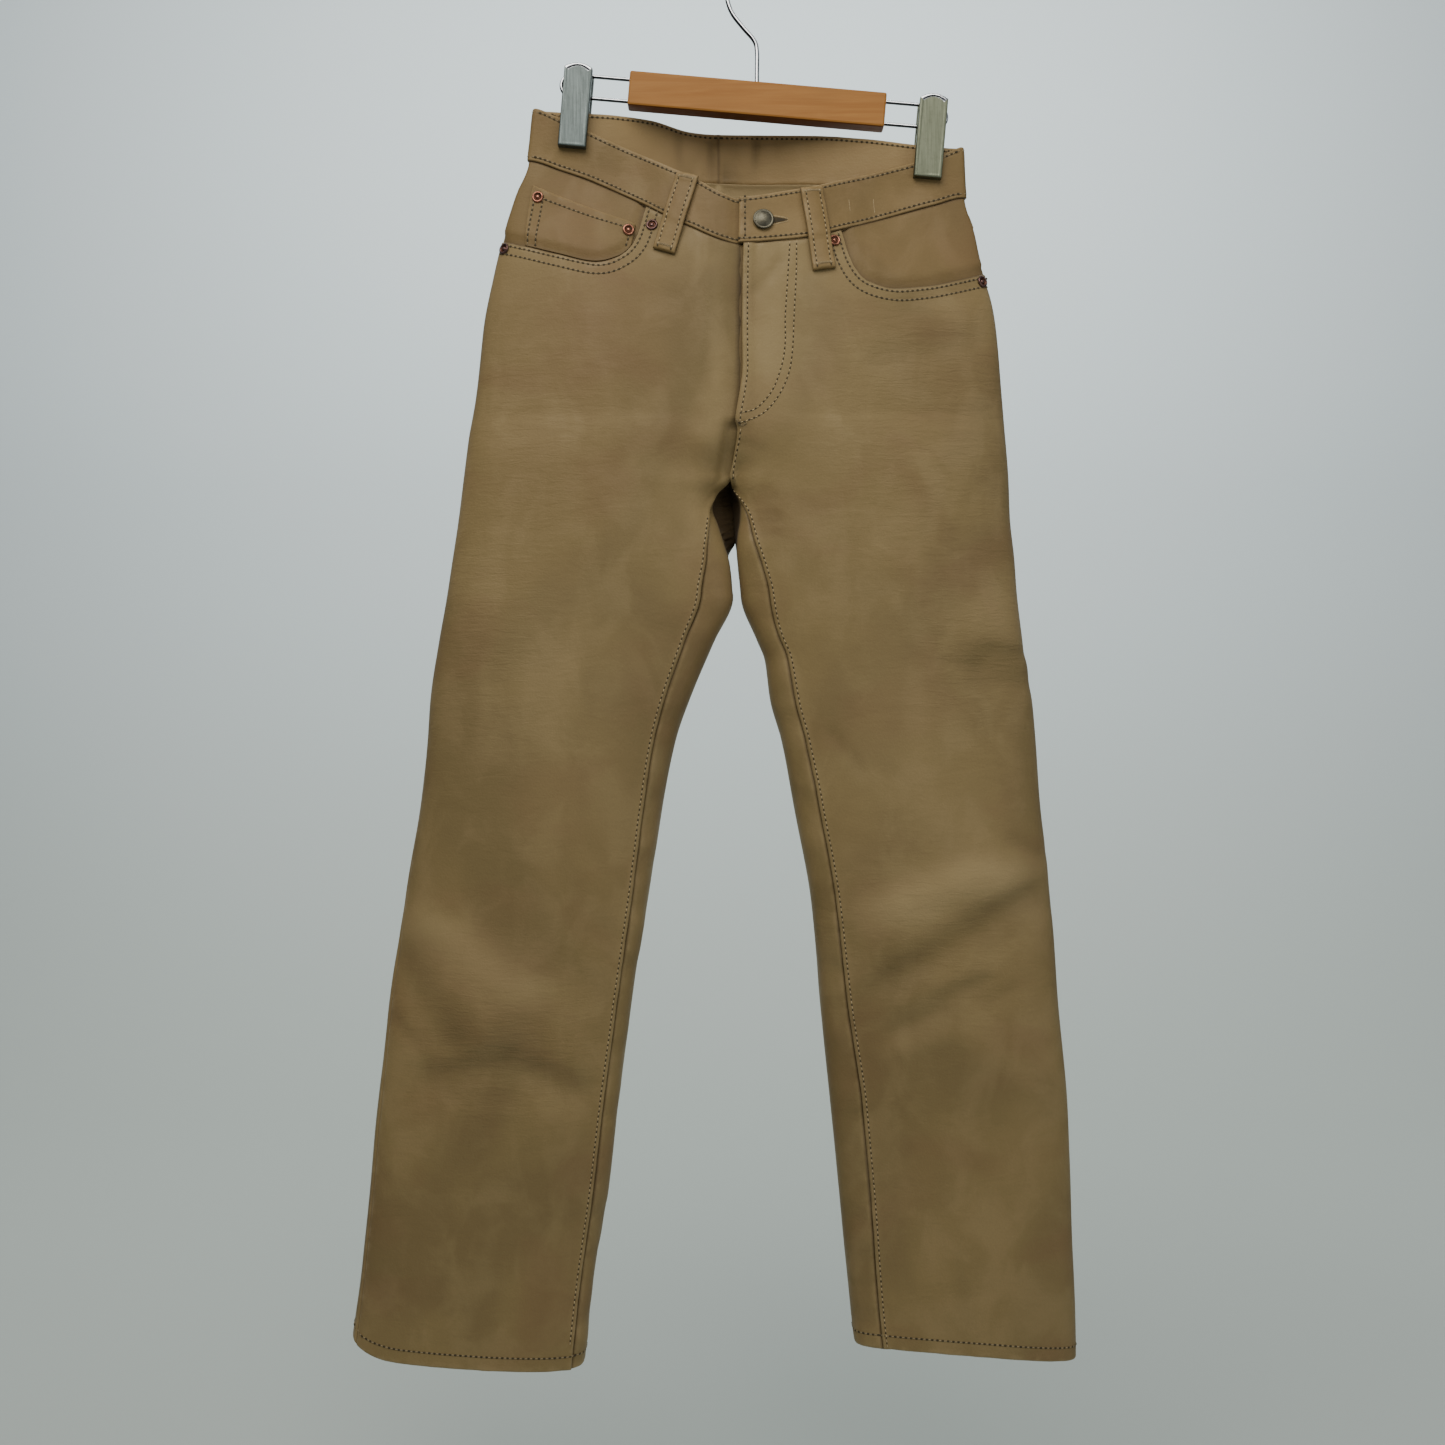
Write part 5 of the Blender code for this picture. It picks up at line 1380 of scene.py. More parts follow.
# Stitches, made by Geometry Nodes.
def stitch_tree():
    """Small rounded shapes set along rows on the leather."""
    tree, into, out = new_group("Stitch Rows", "GeometryNodeTree", (
        ("Rows", "NodeSocketGeometry", None), ("Pitch", "NodeSocketFloat", 0.003),
        ("Length", "NodeSocketFloat", 0.002), ("Width", "NodeSocketFloat", 0.0006),
        ("Height", "NodeSocketFloat", 0.0005), ("Shift", "NodeSocketFloat", 0.0),
        ("Slant", "NodeSocketFloat", 0.0), ("Finish", "NodeSocketMaterial", None)),
        (("Geometry", "NodeSocketGeometry"),))
    rows, pitch, length, width, height, shift, slant, finish = into.outputs[:8]
    curve = node(tree, "GeometryNodeMeshToCurve", {"Mesh": rows}).outputs[0]
    stations = node(tree, "GeometryNodeResampleCurve", {"Curve": curve, "Length": pitch},
                    mode="LENGTH").outputs[0]
    ball = node(tree, "GeometryNodeMeshUVSphere", {"Segments": 8, "Rings": 5, "Radius": 0.5}).outputs["Mesh"]
    size = node(tree, "ShaderNodeCombineXYZ", {"X": length, "Y": width, "Z": height}).outputs[0]
    place = node(tree, "ShaderNodeCombineXYZ", {"X": shift}).outputs[0]
    turn = node(tree, "ShaderNodeCombineXYZ", {"Z": slant}).outputs[0]
    shape = node(tree, "GeometryNodeTransform", {"Geometry": ball, "Translation": place, "Rotation": turn,
                                                "Scale": size}).outputs[0]
    tangent = node(tree, "GeometryNodeInputTangent").outputs[0]
    surface = node(tree, "GeometryNodeInputNamedAttribute", {"Name": "surface"},
                   data_type="FLOAT_VECTOR").outputs[0]
    along = node(tree, "FunctionNodeAlignRotationToVector", {"Vector": tangent}, axis="X").outputs[0]
    upright = node(tree, "FunctionNodeAlignRotationToVector", {"Rotation": along, "Vector": surface},
                   axis="Z", pivot_axis="X").outputs[0]
    set_out = node(tree, "GeometryNodeInstanceOnPoints", {"Points": stations, "Instance": shape,
                                                         "Rotation": upright}).outputs[0]
    real = node(tree, "GeometryNodeRealizeInstances", {"Geometry": set_out}).outputs[0]
    soft = node(tree, "GeometryNodeSetShadeSmooth", {"Geometry": real}).outputs[0]
    done = node(tree, "GeometryNodeSetMaterial", {"Geometry": soft, "Material": finish}).outputs[0]
    tree.links.new(done, out.inputs[0])
    return tree


def made_plain(source, name):
    """The evaluated object as a plain mesh piece; the source is removed."""
    bpy.context.view_layer.update()
    depsgraph = bpy.context.evaluated_depsgraph_get()
    mesh = bpy.data.meshes.new_from_object(source.evaluated_get(depsgraph), depsgraph=depsgraph)
    mesh.name = name
    bpy.data.objects.remove(source, do_unlink=True)
    return put(name, mesh, ())


def sew(name, rows, material, pitch, length, width, height, shift=0.0, slant=0.0):
    """Set shapes along rows; a row is (points, surface directions) in millimetres."""
    corners, edges, directions = [], [], []
    for points, surface in rows:
        start = len(corners)
        corners += (points * MM).tolist()
        directions += surface.tolist()
        edges += [(start + i, start + i + 1) for i in range(len(points) - 1)]
    mesh = bpy.data.meshes.new(name + "_rows")
    mesh.from_pydata(corners, edges, [])
    held = mesh.attributes.new("surface", "FLOAT_VECTOR", "POINT")
    held.data.foreach_set("vector", np.array(directions, np.float32).ravel())
    source = linked(name + "_rows", mesh)
    tree = bpy.data.node_groups.get("Stitch Rows") or stitch_tree()
    modifier = source.modifiers.new("Stitches", "NODES")
    modifier.node_group = tree
    sizes = {"Pitch": pitch * MM, "Length": length * MM, "Width": width * MM, "Height": height * MM,
             "Shift": shift * MM, "Slant": slant, "Finish": material}
    for item in tree.interface.items_tree:
        if item.item_type == "SOCKET" and item.in_out == "INPUT" and item.name in sizes:
            modifier[item.identifier] = sizes[item.name]
    return made_plain(source, name)


def grounded(points, normals, targets, lift, start=9.0, reach=24.0):
    """Points moved along their directions onto the pieces that carry them."""
    placed, surface = [], []
    for point, normal in zip(points, normals):
        best = None
        origin, way = Vector(point + normal * start), Vector(-normal)
        for target in targets:
            place, found, _, distance = skins[target].ray_cast(origin, way, reach)
            if place is not None and (best is None or distance < best[2]):
                best = (place, found, distance)
        if best is None:
            near = [skins[target].find_nearest(Vector(point)) for target in targets]
            place, found, _, distance = min(near, key=lambda each: each[3])
            best = (place, found, distance)
        direction = np.array(best[1])
        if np.dot(direction, normal) < 0:
            direction = -direction
        placed.append(np.array(best[0]) + direction * lift)
        surface.append(direction)
    return np.array(placed), np.array(surface)


THREAD_LIFT = 0.12


def on_leather(side, angles, heights, targets):
    return grounded(*leather_with_normals(side, angles, heights), targets, THREAD_LIFT)


def on_face(face, x, z, targets, lift=THREAD_LIFT):
    return grounded(*face_with_normals(face, x, z), targets, lift)


def from_front(x, z, targets):
    """Places straight behind points of the front view."""
    points = np.stack(np.broadcast_arrays(x, -60.0, z), axis=-1)
    return grounded(points, np.broadcast_to((0.0, -1.0, 0.0), points.shape), targets, THREAD_LIFT, 0.0, 58.0)


def on_leg(side, angles, heights, targets):
    points, normals = leather_with_normals(side, angles, heights)
    part_legs(side, points)
    round_corner(side, points)
    return grounded(points, normals, targets, THREAD_LIFT)


def through(anchors, pieces):
    """A smooth line through anchors, with this many points from each one to the next."""
    anchors = np.array(anchors, float)
    ends = np.concatenate((2 * anchors[:1] - anchors[1:2], anchors, 2 * anchors[-1:] - anchors[-2:-1]))
    t = np.linspace(0.0, 1.0, pieces, endpoint=False)[:, None]
    line = [0.5 * (2 * b + (c - a) * t + (2 * a - 5 * b + 4 * c - d) * t * t
                   + (3 * b - a - 3 * c + d) * t ** 3)
            for a, b, c, d in zip(ends, ends[1:], ends[2:], ends[3:])]
    return np.concatenate(line + [anchors[-1:]])


def even_line(anchors, step=2.0):
    """A smooth flat line through anchors, with points about step apart."""
    dense = through(anchors, 24)
    along = np.concatenate(([0.0], np.linalg.norm(np.diff(dense, axis=0), axis=1).cumsum()))
    stations = np.linspace(0.0, along[-1], max(2, int(along[-1] / step) + 1))
    return np.stack([np.interp(stations, along, dense[:, k]) for k in (0, 1)], axis=1)


def beside(line, distance):
    """A flat line moved sideways, to the left of its direction."""
    run = np.gradient(line, axis=0)
    run /= np.linalg.norm(run, axis=1, keepdims=True)
    return line + distance * np.stack((-run[:, 1], run[:, 0]), axis=1)


def opening_line(side):
    table = OPENING[side]
    return even_line(np.stack((table.column("across"), table.column("height")), axis=1), 1.5)


def band_rows():
    rows, inside = [], []
    shares = np.linspace(0.004, 0.996, 190)
    for side in SIDES:
        for face in (FRONT, BACK):
            angles = face * share_angle(shares)
            for edge, step in (("bottom", 3.4), ("top", -3.4)):
                heights = waist_height(side, face, shares, edge) + step
                rows.append(on_leather(side, angles, heights, ("band_" + side,)))
        middle, normals = leather_with_normals(side, angles, heights)
        inside.append(grounded(middle, -normals, ("band_%s_inside" % side,), THREAD_LIFT))
    edge = centre(FRONT, UNDERLAP["level"])
    rows.append(on_face(FRONT, np.full(18, edge + 3.0), np.linspace(-238.4, -205.2, 18), ("band_right",)))
    return rows, inside


def pocket_rows():
    """Double rows along the pocket openings, and the rows of the coin pocket."""
    rows = []
    for side in SIDES:
        line = opening_line(side)
        for distance in (3.4, 10.6):
            x, z = beside(line, -distance).T
            keep = z < WAIST[FRONT].read("bottom", x) - 1.5
            keep &= np.abs(x - HALF[side].read("outer", z)) > 1.0
            rows.append(on_face(FRONT, x[keep], z[keep], ("front_" + side,)))
    (x0, z0), (x1, z1) = COIN_TOP
    foot_z = [OPENING["left"].read("height", x) for x in COIN_FOOT]
    lines = [((x0 + 6, z0 - 9.6), ((x0 + x1) / 2, (z0 + z1) / 2 - 8.6), (x1 - 6, z1 - 5.6))]
    lines += [((x0 + step, z0 - 4.0 - step * 0.38), (COIN_FOOT[0] + step, foot_z[0] + 2.0))
              for step in (2.6, 9.6)]
    lines += [((x1 - 2.6, z1 - 3.5), (COIN_FOOT[1] - 3.4, foot_z[1] + 2.5))]
    return rows + [on_face(FRONT, *even_line(line).T, ("coin_pocket",)) for line in lines]


def fly_rows():
    """The fly's edge row, its curved double row and the short row below."""
    curves = (
        ((31.4, -240.5), (31.0, -266.8), (29.3, -298.5), (27.8, -330.2), (24.6, -349.3), (16.7, -366.8),
         (5.5, -380.2), (-7.1, -386.6), (-13.1, -388.2)),
        ((25.9, -241.5), (23.8, -274.7), (22.0, -303.4), (22.0, -322.3), (19.8, -339.7), (13.5, -358.7),
         (6.3, -369.9), (-2.4, -377.9), (-11.9, -381.0)),
    )
    z = np.linspace(-244.0, -387.0, 70)
    rows = [on_face(FRONT, centre(FRONT, z) + 1.6 + fly_shift(z), z, ("front_right",))]
    rows += [on_face(FRONT, *even_line(curve).T, ("front_right",)) for curve in curves]
    z = np.linspace(-395.0, -429.0, 20)
    return rows + [from_front(centre(FRONT, z) + 2.6, z, ("front_right",))]


def panel_line(side, face, inset, low, high):
    """A row beside a leg's inner seam."""
    heights = np.arange(low, high, 2.2)
    end, turn = leg_turn(side, face, heights)[1], 0.02
    run = leather(side, end, heights) - leather(side, end - face * turn, heights)
    return end - face * inset * turn / np.linalg.norm(run, axis=-1), heights


def leg_rows():
    rows, hems = [], []
    evenly = np.linspace(0.004, 0.996, 120)
    for side in SIDES:
        angles, heights = panel_line(side, FRONT, 3.4, -1138.0, -466.0 if side == "left" else -436.0)
        rows.append(on_leg(side, angles, heights, ("front_" + side,)))
        hem = hem_height(side, evenly) + 11.5
        for face in (FRONT, BACK):
            start, end = leg_turn(side, face, hem)
            hems.append(on_leg(side, start + (end - start) * evenly, hem, (panel_name(side, face),)))
    return rows, hems


def seat_rows():
    """Double rows on the yoke seams and down the seat seam."""
    rows = []
    shares = np.linspace(0.006, 0.99, 110)
    z = np.concatenate((np.arange(-420.0, -236.0, 2.2), np.arange(-234.0, -176.0, 2.2)))
    for side in SIDES:
        for step in (3.0, 9.0):
            heights = yoke_seam(side, shares) + step
            rows.append(on_leather(side, -share_angle(shares), heights, ("yoke_" + side,)))
    return rows + [on_face(BACK, centre(BACK, z) + step, z, ("back_right", "yoke_right"))
                   for step in (3.0, 9.0)]


def loop_rows():
    """The long rows of each belt loop, and the bar tacks across its ends."""
    rows, tacks = [], []
    down = np.linspace(0.06, 0.94, 34)
    tack = np.linspace(-6.6, 6.6, 12)
    for name, face, top, bottom in LOOPS:
        for across in (-LOOP_ROW, LOOP_ROW):
            rows.append(on_face(face, *loop_places(face, top, bottom, np.full(34, across), down), (name,)))
        for share in (0.055, 0.945):
            tacks.append(on_face(face, *loop_places(face, top, bottom, tack, np.full(12, share)), (name,)))
    return rows, tacks


def tack_rows():
    """The short dense row that holds the fly's foot."""
    line = even_line(((-17.0, -386.6), (-15.6, -390.0), (-12.4, -391.0), (-9.6, -389.2)), 0.6)
    return [from_front(*line.T, ("front_left", "front_right"))]


# Fastenings.
BUTTON_PLACE = (4.3, -223.6)
BUTTON_STEPS = 56
BUTTON_PROFILE = (
    (0.0, 3.75), (1.5, 3.7), (3.0, 3.52), (4.4, 3.22), (5.6, 2.86), (6.4, 2.6), (6.7, 2.44), (6.95, 2.42),
    (7.3, 2.56), (7.8, 2.6), (8.25, 2.42), (8.5, 2.05), (8.45, 1.7), (8.1, 1.45), (7.2, 1.3), (3.4, 1.1),
    (3.0, 0.9), (2.9, 0.05), (0.0, 0.0),
)
RIVETS = (
    ("rivet_left_band", -86.0, -225.0, "front_left"),
    ("rivet_left_side", -207.5, -241.5, "front_left"),
    ("rivet_coin_outer", -180.5, -198.5, "coin_pocket"),
    ("rivet_coin_inner", -105.0, -230.0, "coin_pocket"),
    ("rivet_right_band", 62.5, -238.0, "front_right"),
    ("rivet_right_side", 185.0, -268.0, "front_right"),
)


def turned_mesh(name, profile, steps, place, axis):
    """A profile of (radius, level), from its top centre to its foot centre, swept round an axis."""
    rings = profile[1:-1]
    turns = [2 * math.pi * i / steps for i in range(steps)]
    corners = [(r * math.cos(turn), r * math.sin(turn), level) for r, level in rings for turn in turns]
    corners += [(0.0, 0.0, profile[0][1]), (0.0, 0.0, profile[-1][1])]
    faces = ring_faces(len(rings), steps, flip=True)
    last, top = (len(rings) - 1) * steps, len(rings) * steps
    for i in range(steps):
        j = (i + 1) % steps
        faces += [(top, i, j), (top + 1, last + j, last + i)]
    turn = Vector(axis).to_track_quat("Z", "Y").to_matrix()
    return mesh_of(name, [np.array(turn @ Vector(corner)) + place for corner in corners], faces)


def make_button(material):
    points, normals = face_with_normals(FRONT, *BUTTON_PLACE)
    placed, surface = grounded(points[None], normals[None], ("band_right",), 0.0)
    mesh = turned_mesh("button_cap", BUTTON_PROFILE, BUTTON_STEPS, placed[0] + surface[0] * 0.1, surface[0])
    return put("button_cap", mesh, [material], ("button",))


RIVET_STEPS = 36
RIVET_WELL = (3, 6)
RIVET_PROFILE = (
    (0.0, 1.55), (0.7, 1.52), (1.2, 1.35), (1.5, 0.9), (1.7, 0.45), (2.3, 0.38), (2.8, 0.6),
    (3.1, 1.15), (3.5, 1.5), (4.0, 1.55), (4.5, 1.3), (4.8, 0.8), (4.85, 0.3), (4.5, -0.1), (0.0, -0.1),
)


def make_rivets(material, well, tarnished):
    for name, x, z, carrier in RIVETS:
        points, normals = face_with_normals(FRONT, x, z)
        placed, surface = grounded(points[None], normals[None], (carrier,), 0.0)
        place = placed[0] + surface[0] * 0.15
        mesh = turned_mesh(name + "_head", RIVET_PROFILE, RIVET_STEPS, place, surface[0])
        ring = tarnished if name == "rivet_left_band" or "side" in name else material
        put(name + "_head", mesh, [ring, well], (name,))
        low, high = RIVET_WELL
        for polygon in mesh.polygons:
            polygon.material_index = int(low <= polygon.index // RIVET_STEPS < high)


def scratch_rows():
    """Two pale scratches on the right half of the waistband."""
    down = np.linspace(0.0, 1.0, 10)
    return [on_face(FRONT, x + 0.8 * down, z - length * down, ("band_right",), 0.02)
            for x, z, length in ((75.0, -201.5, 8.5), (95.6, -199.5, 11.0))]


def make_buttonhole(thread, dark):
    """A dark sheet that paints the shade in the buttonhole's slit, and satin stitches beside the button."""
    start, end, count = 8.0, 24.0, 40
    x = np.linspace(start, end, count)
    middle = BUTTON_PLACE[1] + (x - start) * 0.06
    half = 2.9 * (1 - np.clip((x - 11.0) / (end - 11.0), 0.0, 1.0)) ** 0.75 + 0.05
    lips = [on_face(FRONT, x, middle + sign * half, ("band_right",), 0.3)[0] for sign in (-1, 1)]
    slit = mesh_of("buttonhole_slit_shade", np.concatenate(lips), grid_faces(2, count).tolist())
    put("buttonhole_slit_shade", slit, [dark])
    around = [on_face(FRONT, x, middle + sign * (half + 1.0), ("band_right",), 0.08) for sign in (-1, 1)]
    return sew("buttonhole_stitches", around, thread, 0.62, 0.5, 1.2, 0.4)


# Hanger.
def tube(name, line, diameter, sides):
    """A round wire along a line of points in millimetres, with closed ends."""
    line = np.array(line, float)
    run = np.gradient(line, axis=0)
    run /= np.linalg.norm(run, axis=1, keepdims=True)
    side_way = np.cross(run, (0.0, 1.0, 0.0))
    side_way /= np.linalg.norm(side_way, axis=1, keepdims=True)
    up = np.cross(side_way, run)
    turns = 2 * math.pi * np.arange(sides)[:, None] / sides
    corners = line[:, None] + diameter / 2 * (side_way[:, None] * np.cos(turns) + up[:, None] * np.sin(turns))
    last = (len(line) - 1) * sides
    faces = ring_faces(len(line), sides)
    faces += [tuple(range(sides))[::-1], tuple(range(last, last + sides))]
    mesh = mesh_of(name, corners.reshape(-1, 3), faces)
    faces_out(mesh)
    return mesh


def tilted(points):
    """Points of the hanger's own frame, as the hanger hangs."""
    points = np.array(points, float)
    x, z = points[:, 0].copy(), points[:, 2].copy()
    points[:, 0] = x * math.cos(HANGER_TILT) + z * math.sin(HANGER_TILT)
    points[:, 2] = -x * math.sin(HANGER_TILT) + z * math.cos(HANGER_TILT) + BAR_HEIGHT
    return points


def make_hook(material):
    top = BAR_HEIGHT + BAR_SIZE[2] / 2
    hook_centre = HOOK_WIRE / 2 - HOOK_RADIUS
    neck = ((0.0, 0.0, top - HOOK_SEAT), (0.0, 0.0, top + 8.0), (0.0, 0.0, -73.0), (-2.5, 0.0, -64.0),
            (-11.0, 0.0, -54.0), (-20.0, 0.0, -42.5), (-24.2, 0.0, -32.0), (-HOOK_RADIUS, 0.0, hook_centre))
    turns = math.pi * (1 - 1.04 * np.arange(1, 61) / 60)
    bend = np.stack((HOOK_RADIUS * np.cos(turns), 0.0 * turns, hook_centre + HOOK_RADIUS * np.sin(turns)),
                    axis=1)
    line = np.concatenate((through(neck, 10), bend))
    wire = tube("hook_wire", line, HOOK_WIRE, 24)
    return put("hook_wire", wire, [material], ("hanger_hook",))


def make_wire_loops(material):
    """The wire's two ends, each bent round to come back into the bar."""
    bend = WIRE_SPREAD / 2
    for side, sign in (("left", -1), ("right", 1)):
        start = sign * (BAR_SIZE[0] / 2 - WIRE_SEAT)
        turn_centre = sign * (WIRE_END[side] - WIRE / 2 - bend)
        turns = [math.pi / 2 - math.pi * i / 32 for i in range(33)]
        line = [(start + (turn_centre - start) * t, 0.0, bend) for t in np.linspace(0.0, 0.97, 12)]
        line += [(turn_centre + sign * bend * math.cos(turn), 0.0, bend * math.sin(turn)) for turn in turns]
        line += [(turn_centre + (start - turn_centre) * t, 0.0, -bend) for t in np.linspace(0.03, 1.0, 12)]
        name = "wire_loop_" + side
        put(name, tube(name, tilted(line), WIRE, 18), [material], ("hanger_wire_" + side,))


def clip_outline(inset):
    """A clip's flat outline: its foot's two corners and its arched top, from right to left."""
    half = CLIP_WIDTH / 2 - inset
    points = [(-half, CLIP_BOTTOM + inset), (half, CLIP_BOTTOM + inset)]
    for i in range(CLIP_ARCH_STEPS + 1):
        across = half * (1 - 2 * i / CLIP_ARCH_STEPS)
        points.append((across, CLIP_TOP - inset - CLIP_ARCH * (across / half) ** 2))
    return points


def make_clip(side, steel, rim):
    """Two trays of sheet steel with rolled edges, and the spring between them."""
    place = np.array((CLIP_PLACE[side] / math.cos(HANGER_TILT), 0.0, WIRE_SPREAD / 2))
    plate, lip = CLIP_GAP + CLIP_DEPTH, CLIP_GAP
    outer = ((0.0, lip), (0.0, plate - 1.1), (0.12, plate - 0.6), (0.45, plate - 0.2), (1.0, plate - 0.02),
             (1.9, plate), (2.4, plate - 0.28), (3.0, plate - 0.3))
    hollow = ((CLIP_SHEET, lip), (CLIP_SHEET, plate - 1.9), (1.9, plate - CLIP_SHEET - 0.1))
    steps = CLIP_ARCH_STEPS + 3
    plate_face, base = (len(outer) - 1) * steps, len(outer) * steps
    last = base + (len(hollow) - 1) * steps
    faces = ring_faces(len(outer), steps) + [tuple(range(plate_face, plate_face + steps))]
    faces += ring_faces(len(hollow), steps, base, flip=True) + [tuple(range(last, last + steps))[::-1]]
    faces += [((i + 1) % steps, i, base + i, base + (i + 1) % steps) for i in range(steps)]
    for face, word in ((FRONT, "front"), (BACK, "back")):
        name = "clip_%s_%s" % (side, word)
        corners = [(x, -face * level, z) for inset, level in outer + hollow for x, z in clip_outline(inset)]
        mesh = mesh_of(name, tilted(np.array(corners) + place), faces, smooth_faces=False)
        faces_out(mesh)
        put(name + "_plate", mesh, [steel, rim], (name,))
        for i, polygon in enumerate(mesh.polygons):
            polygon.use_smooth = i < plate_face
            on_arch = 2 <= i % steps < steps - 1
            polygon.material_index = int(on_arch and steps <= i < plate_face)
    make_spring(side, place, steel)


def make_spring(side, place, steel):
    """A strip of spring steel over the wire, with a leg down each side of the leather."""
    arch = CLIP_GAP + SPRING_SHEET / 2 + 0.4
    arch_centre = WIRE / 2 + CLEARANCE + SPRING_SHEET / 2 - arch
    corners, faces = [], []
    half = SPRING_WIDTH / 2
    turns = [math.pi * i / 24 for i in range(25)]
    for reach in (arch - SPRING_SHEET / 2, arch + SPRING_SHEET / 2):
        profile = [(-reach, arch_centre - SPRING_LEG)]
        profile += [(-reach * math.cos(turn), arch_centre + reach * math.sin(turn)) for turn in turns]
        profile += [(reach, arch_centre - SPRING_LEG)]
        for x in (-half, half):
            corners += [(x, y, z) for y, z in profile]
    n = len(profile)
    for i in range(n - 1):
        faces.append((i, i + 1, n + i + 1, n + i))
        faces.append((2 * n + i, 3 * n + i, 3 * n + i + 1, 2 * n + i + 1))
        faces.append((i, 2 * n + i, 2 * n + i + 1, i + 1))
        faces.append((n + i, n + i + 1, 3 * n + i + 1, 3 * n + i))
    faces += [(i, n + i, 3 * n + i, 2 * n + i) for i in (0, n - 1)]
    name = "clip_%s_spring" % side
    mesh = mesh_of(name, tilted(np.array(corners) + place), faces, smooth_faces=False)
    faces_out(mesh)
    put(name + "_strip", mesh, [steel], (name,))


def staged(name, corners, faces, material):
    """A plain mesh of the studio, in metres."""
    mesh = bpy.data.meshes.new(name)
    mesh.from_pydata(corners, [], faces)
    mesh.materials.append(material)
    linked(name, mesh)
    return mesh


# Stage.
FLOOR = -1.42


def make_stage(looks):
    """A paper sweep: floor, bend and wall in one."""
    half_width, bend_start, bend = 5.0, 1.6, 1.5
    turns = [math.pi / 2 * i / 24 for i in range(1, 25)]
    profile = [(y, FLOOR) for y in (-4.5, 0.0, bend_start)]
    profile += [(bend_start + bend * math.sin(turn), FLOOR + bend * (1 - math.cos(turn))) for turn in turns]
    profile.append((bend_start + bend, 3.4))
    corners = [(x, y, z) for x in (-half_width, half_width) for y, z in profile]
    n = len(profile)
    faces = [(i, i + 1, n + i + 1, n + i)[::-1] for i in range(n - 1)]
    staged("studio_sweep", corners, faces, stage_material("studio_paper", looks.backdrop)).shade_smooth()


def make_cards():
    """Dark cards outside the view, which give the bright metal its dark edges."""
    material = stage_material("dark_card", (0.02, 0.02, 0.022))
    for name, x in (("dark_card_left", -1.35), ("dark_card_right", 1.35)):
        corners = [(x, y, z) for y, z in ((-0.75, -1.3), (0.1, -1.3), (0.1, 0.6), (-0.75, 0.6))]
        staged(name, corners, [(0, 1, 2, 3)], material)


def add_light(name, place, target, size, power, colour):
    data = bpy.data.lights.new(name, "AREA")
    data.shape = "RECTANGLE"
    data.size, data.size_y = size
    data.energy = power
    data.color = colour
    made = linked(name, data)
    made.location = place
    made.rotation_euler = (Vector(target) - Vector(place)).to_track_quat("-Z", "Y").to_euler()


def make_lights(looks):
    add_light("soft_key", (-0.35, -1.25, 0.95), (-0.03, 0.0, -0.45), (1.8, 1.2), looks.key_power,
              (1.0, 0.97, 0.92))
    add_light("soft_fill", (1.9, -1.7, -0.2), (0.0, 0.0, -0.7), (1.2, 1.6), looks.fill_power,
              (0.95, 0.98, 1.0))
    add_light("wall_wash", (0.0, 0.9, 1.75), (0.0, 3.1, 0.4), (3.2, 0.6), looks.wall_power, (0.98, 1.0, 1.0))
    world = bpy.data.worlds.new("studio_world")
    world.use_nodes = True
    background = world.node_tree.nodes["Background"]
    background.inputs["Color"].default_value = (*looks.sky, 1)
    background.inputs["Strength"].default_value = looks.sky_strength
    bpy.context.scene.world = world


def make_camera():
    data = bpy.data.cameras.new("camera")
    data.lens = 36.0
    data.sensor_width = 36.0
    camera = linked("camera", data)
    camera.location = (-0.0286, -1.2, -0.6304)
    camera.rotation_euler = (math.radians(90), 0.0, 0.0)
    bpy.context.scene.camera = camera


# Settings, operators and panel.
COLOUR = {"subtype": "COLOR", "size": 3, "min": 0.0, "max": 1.0}


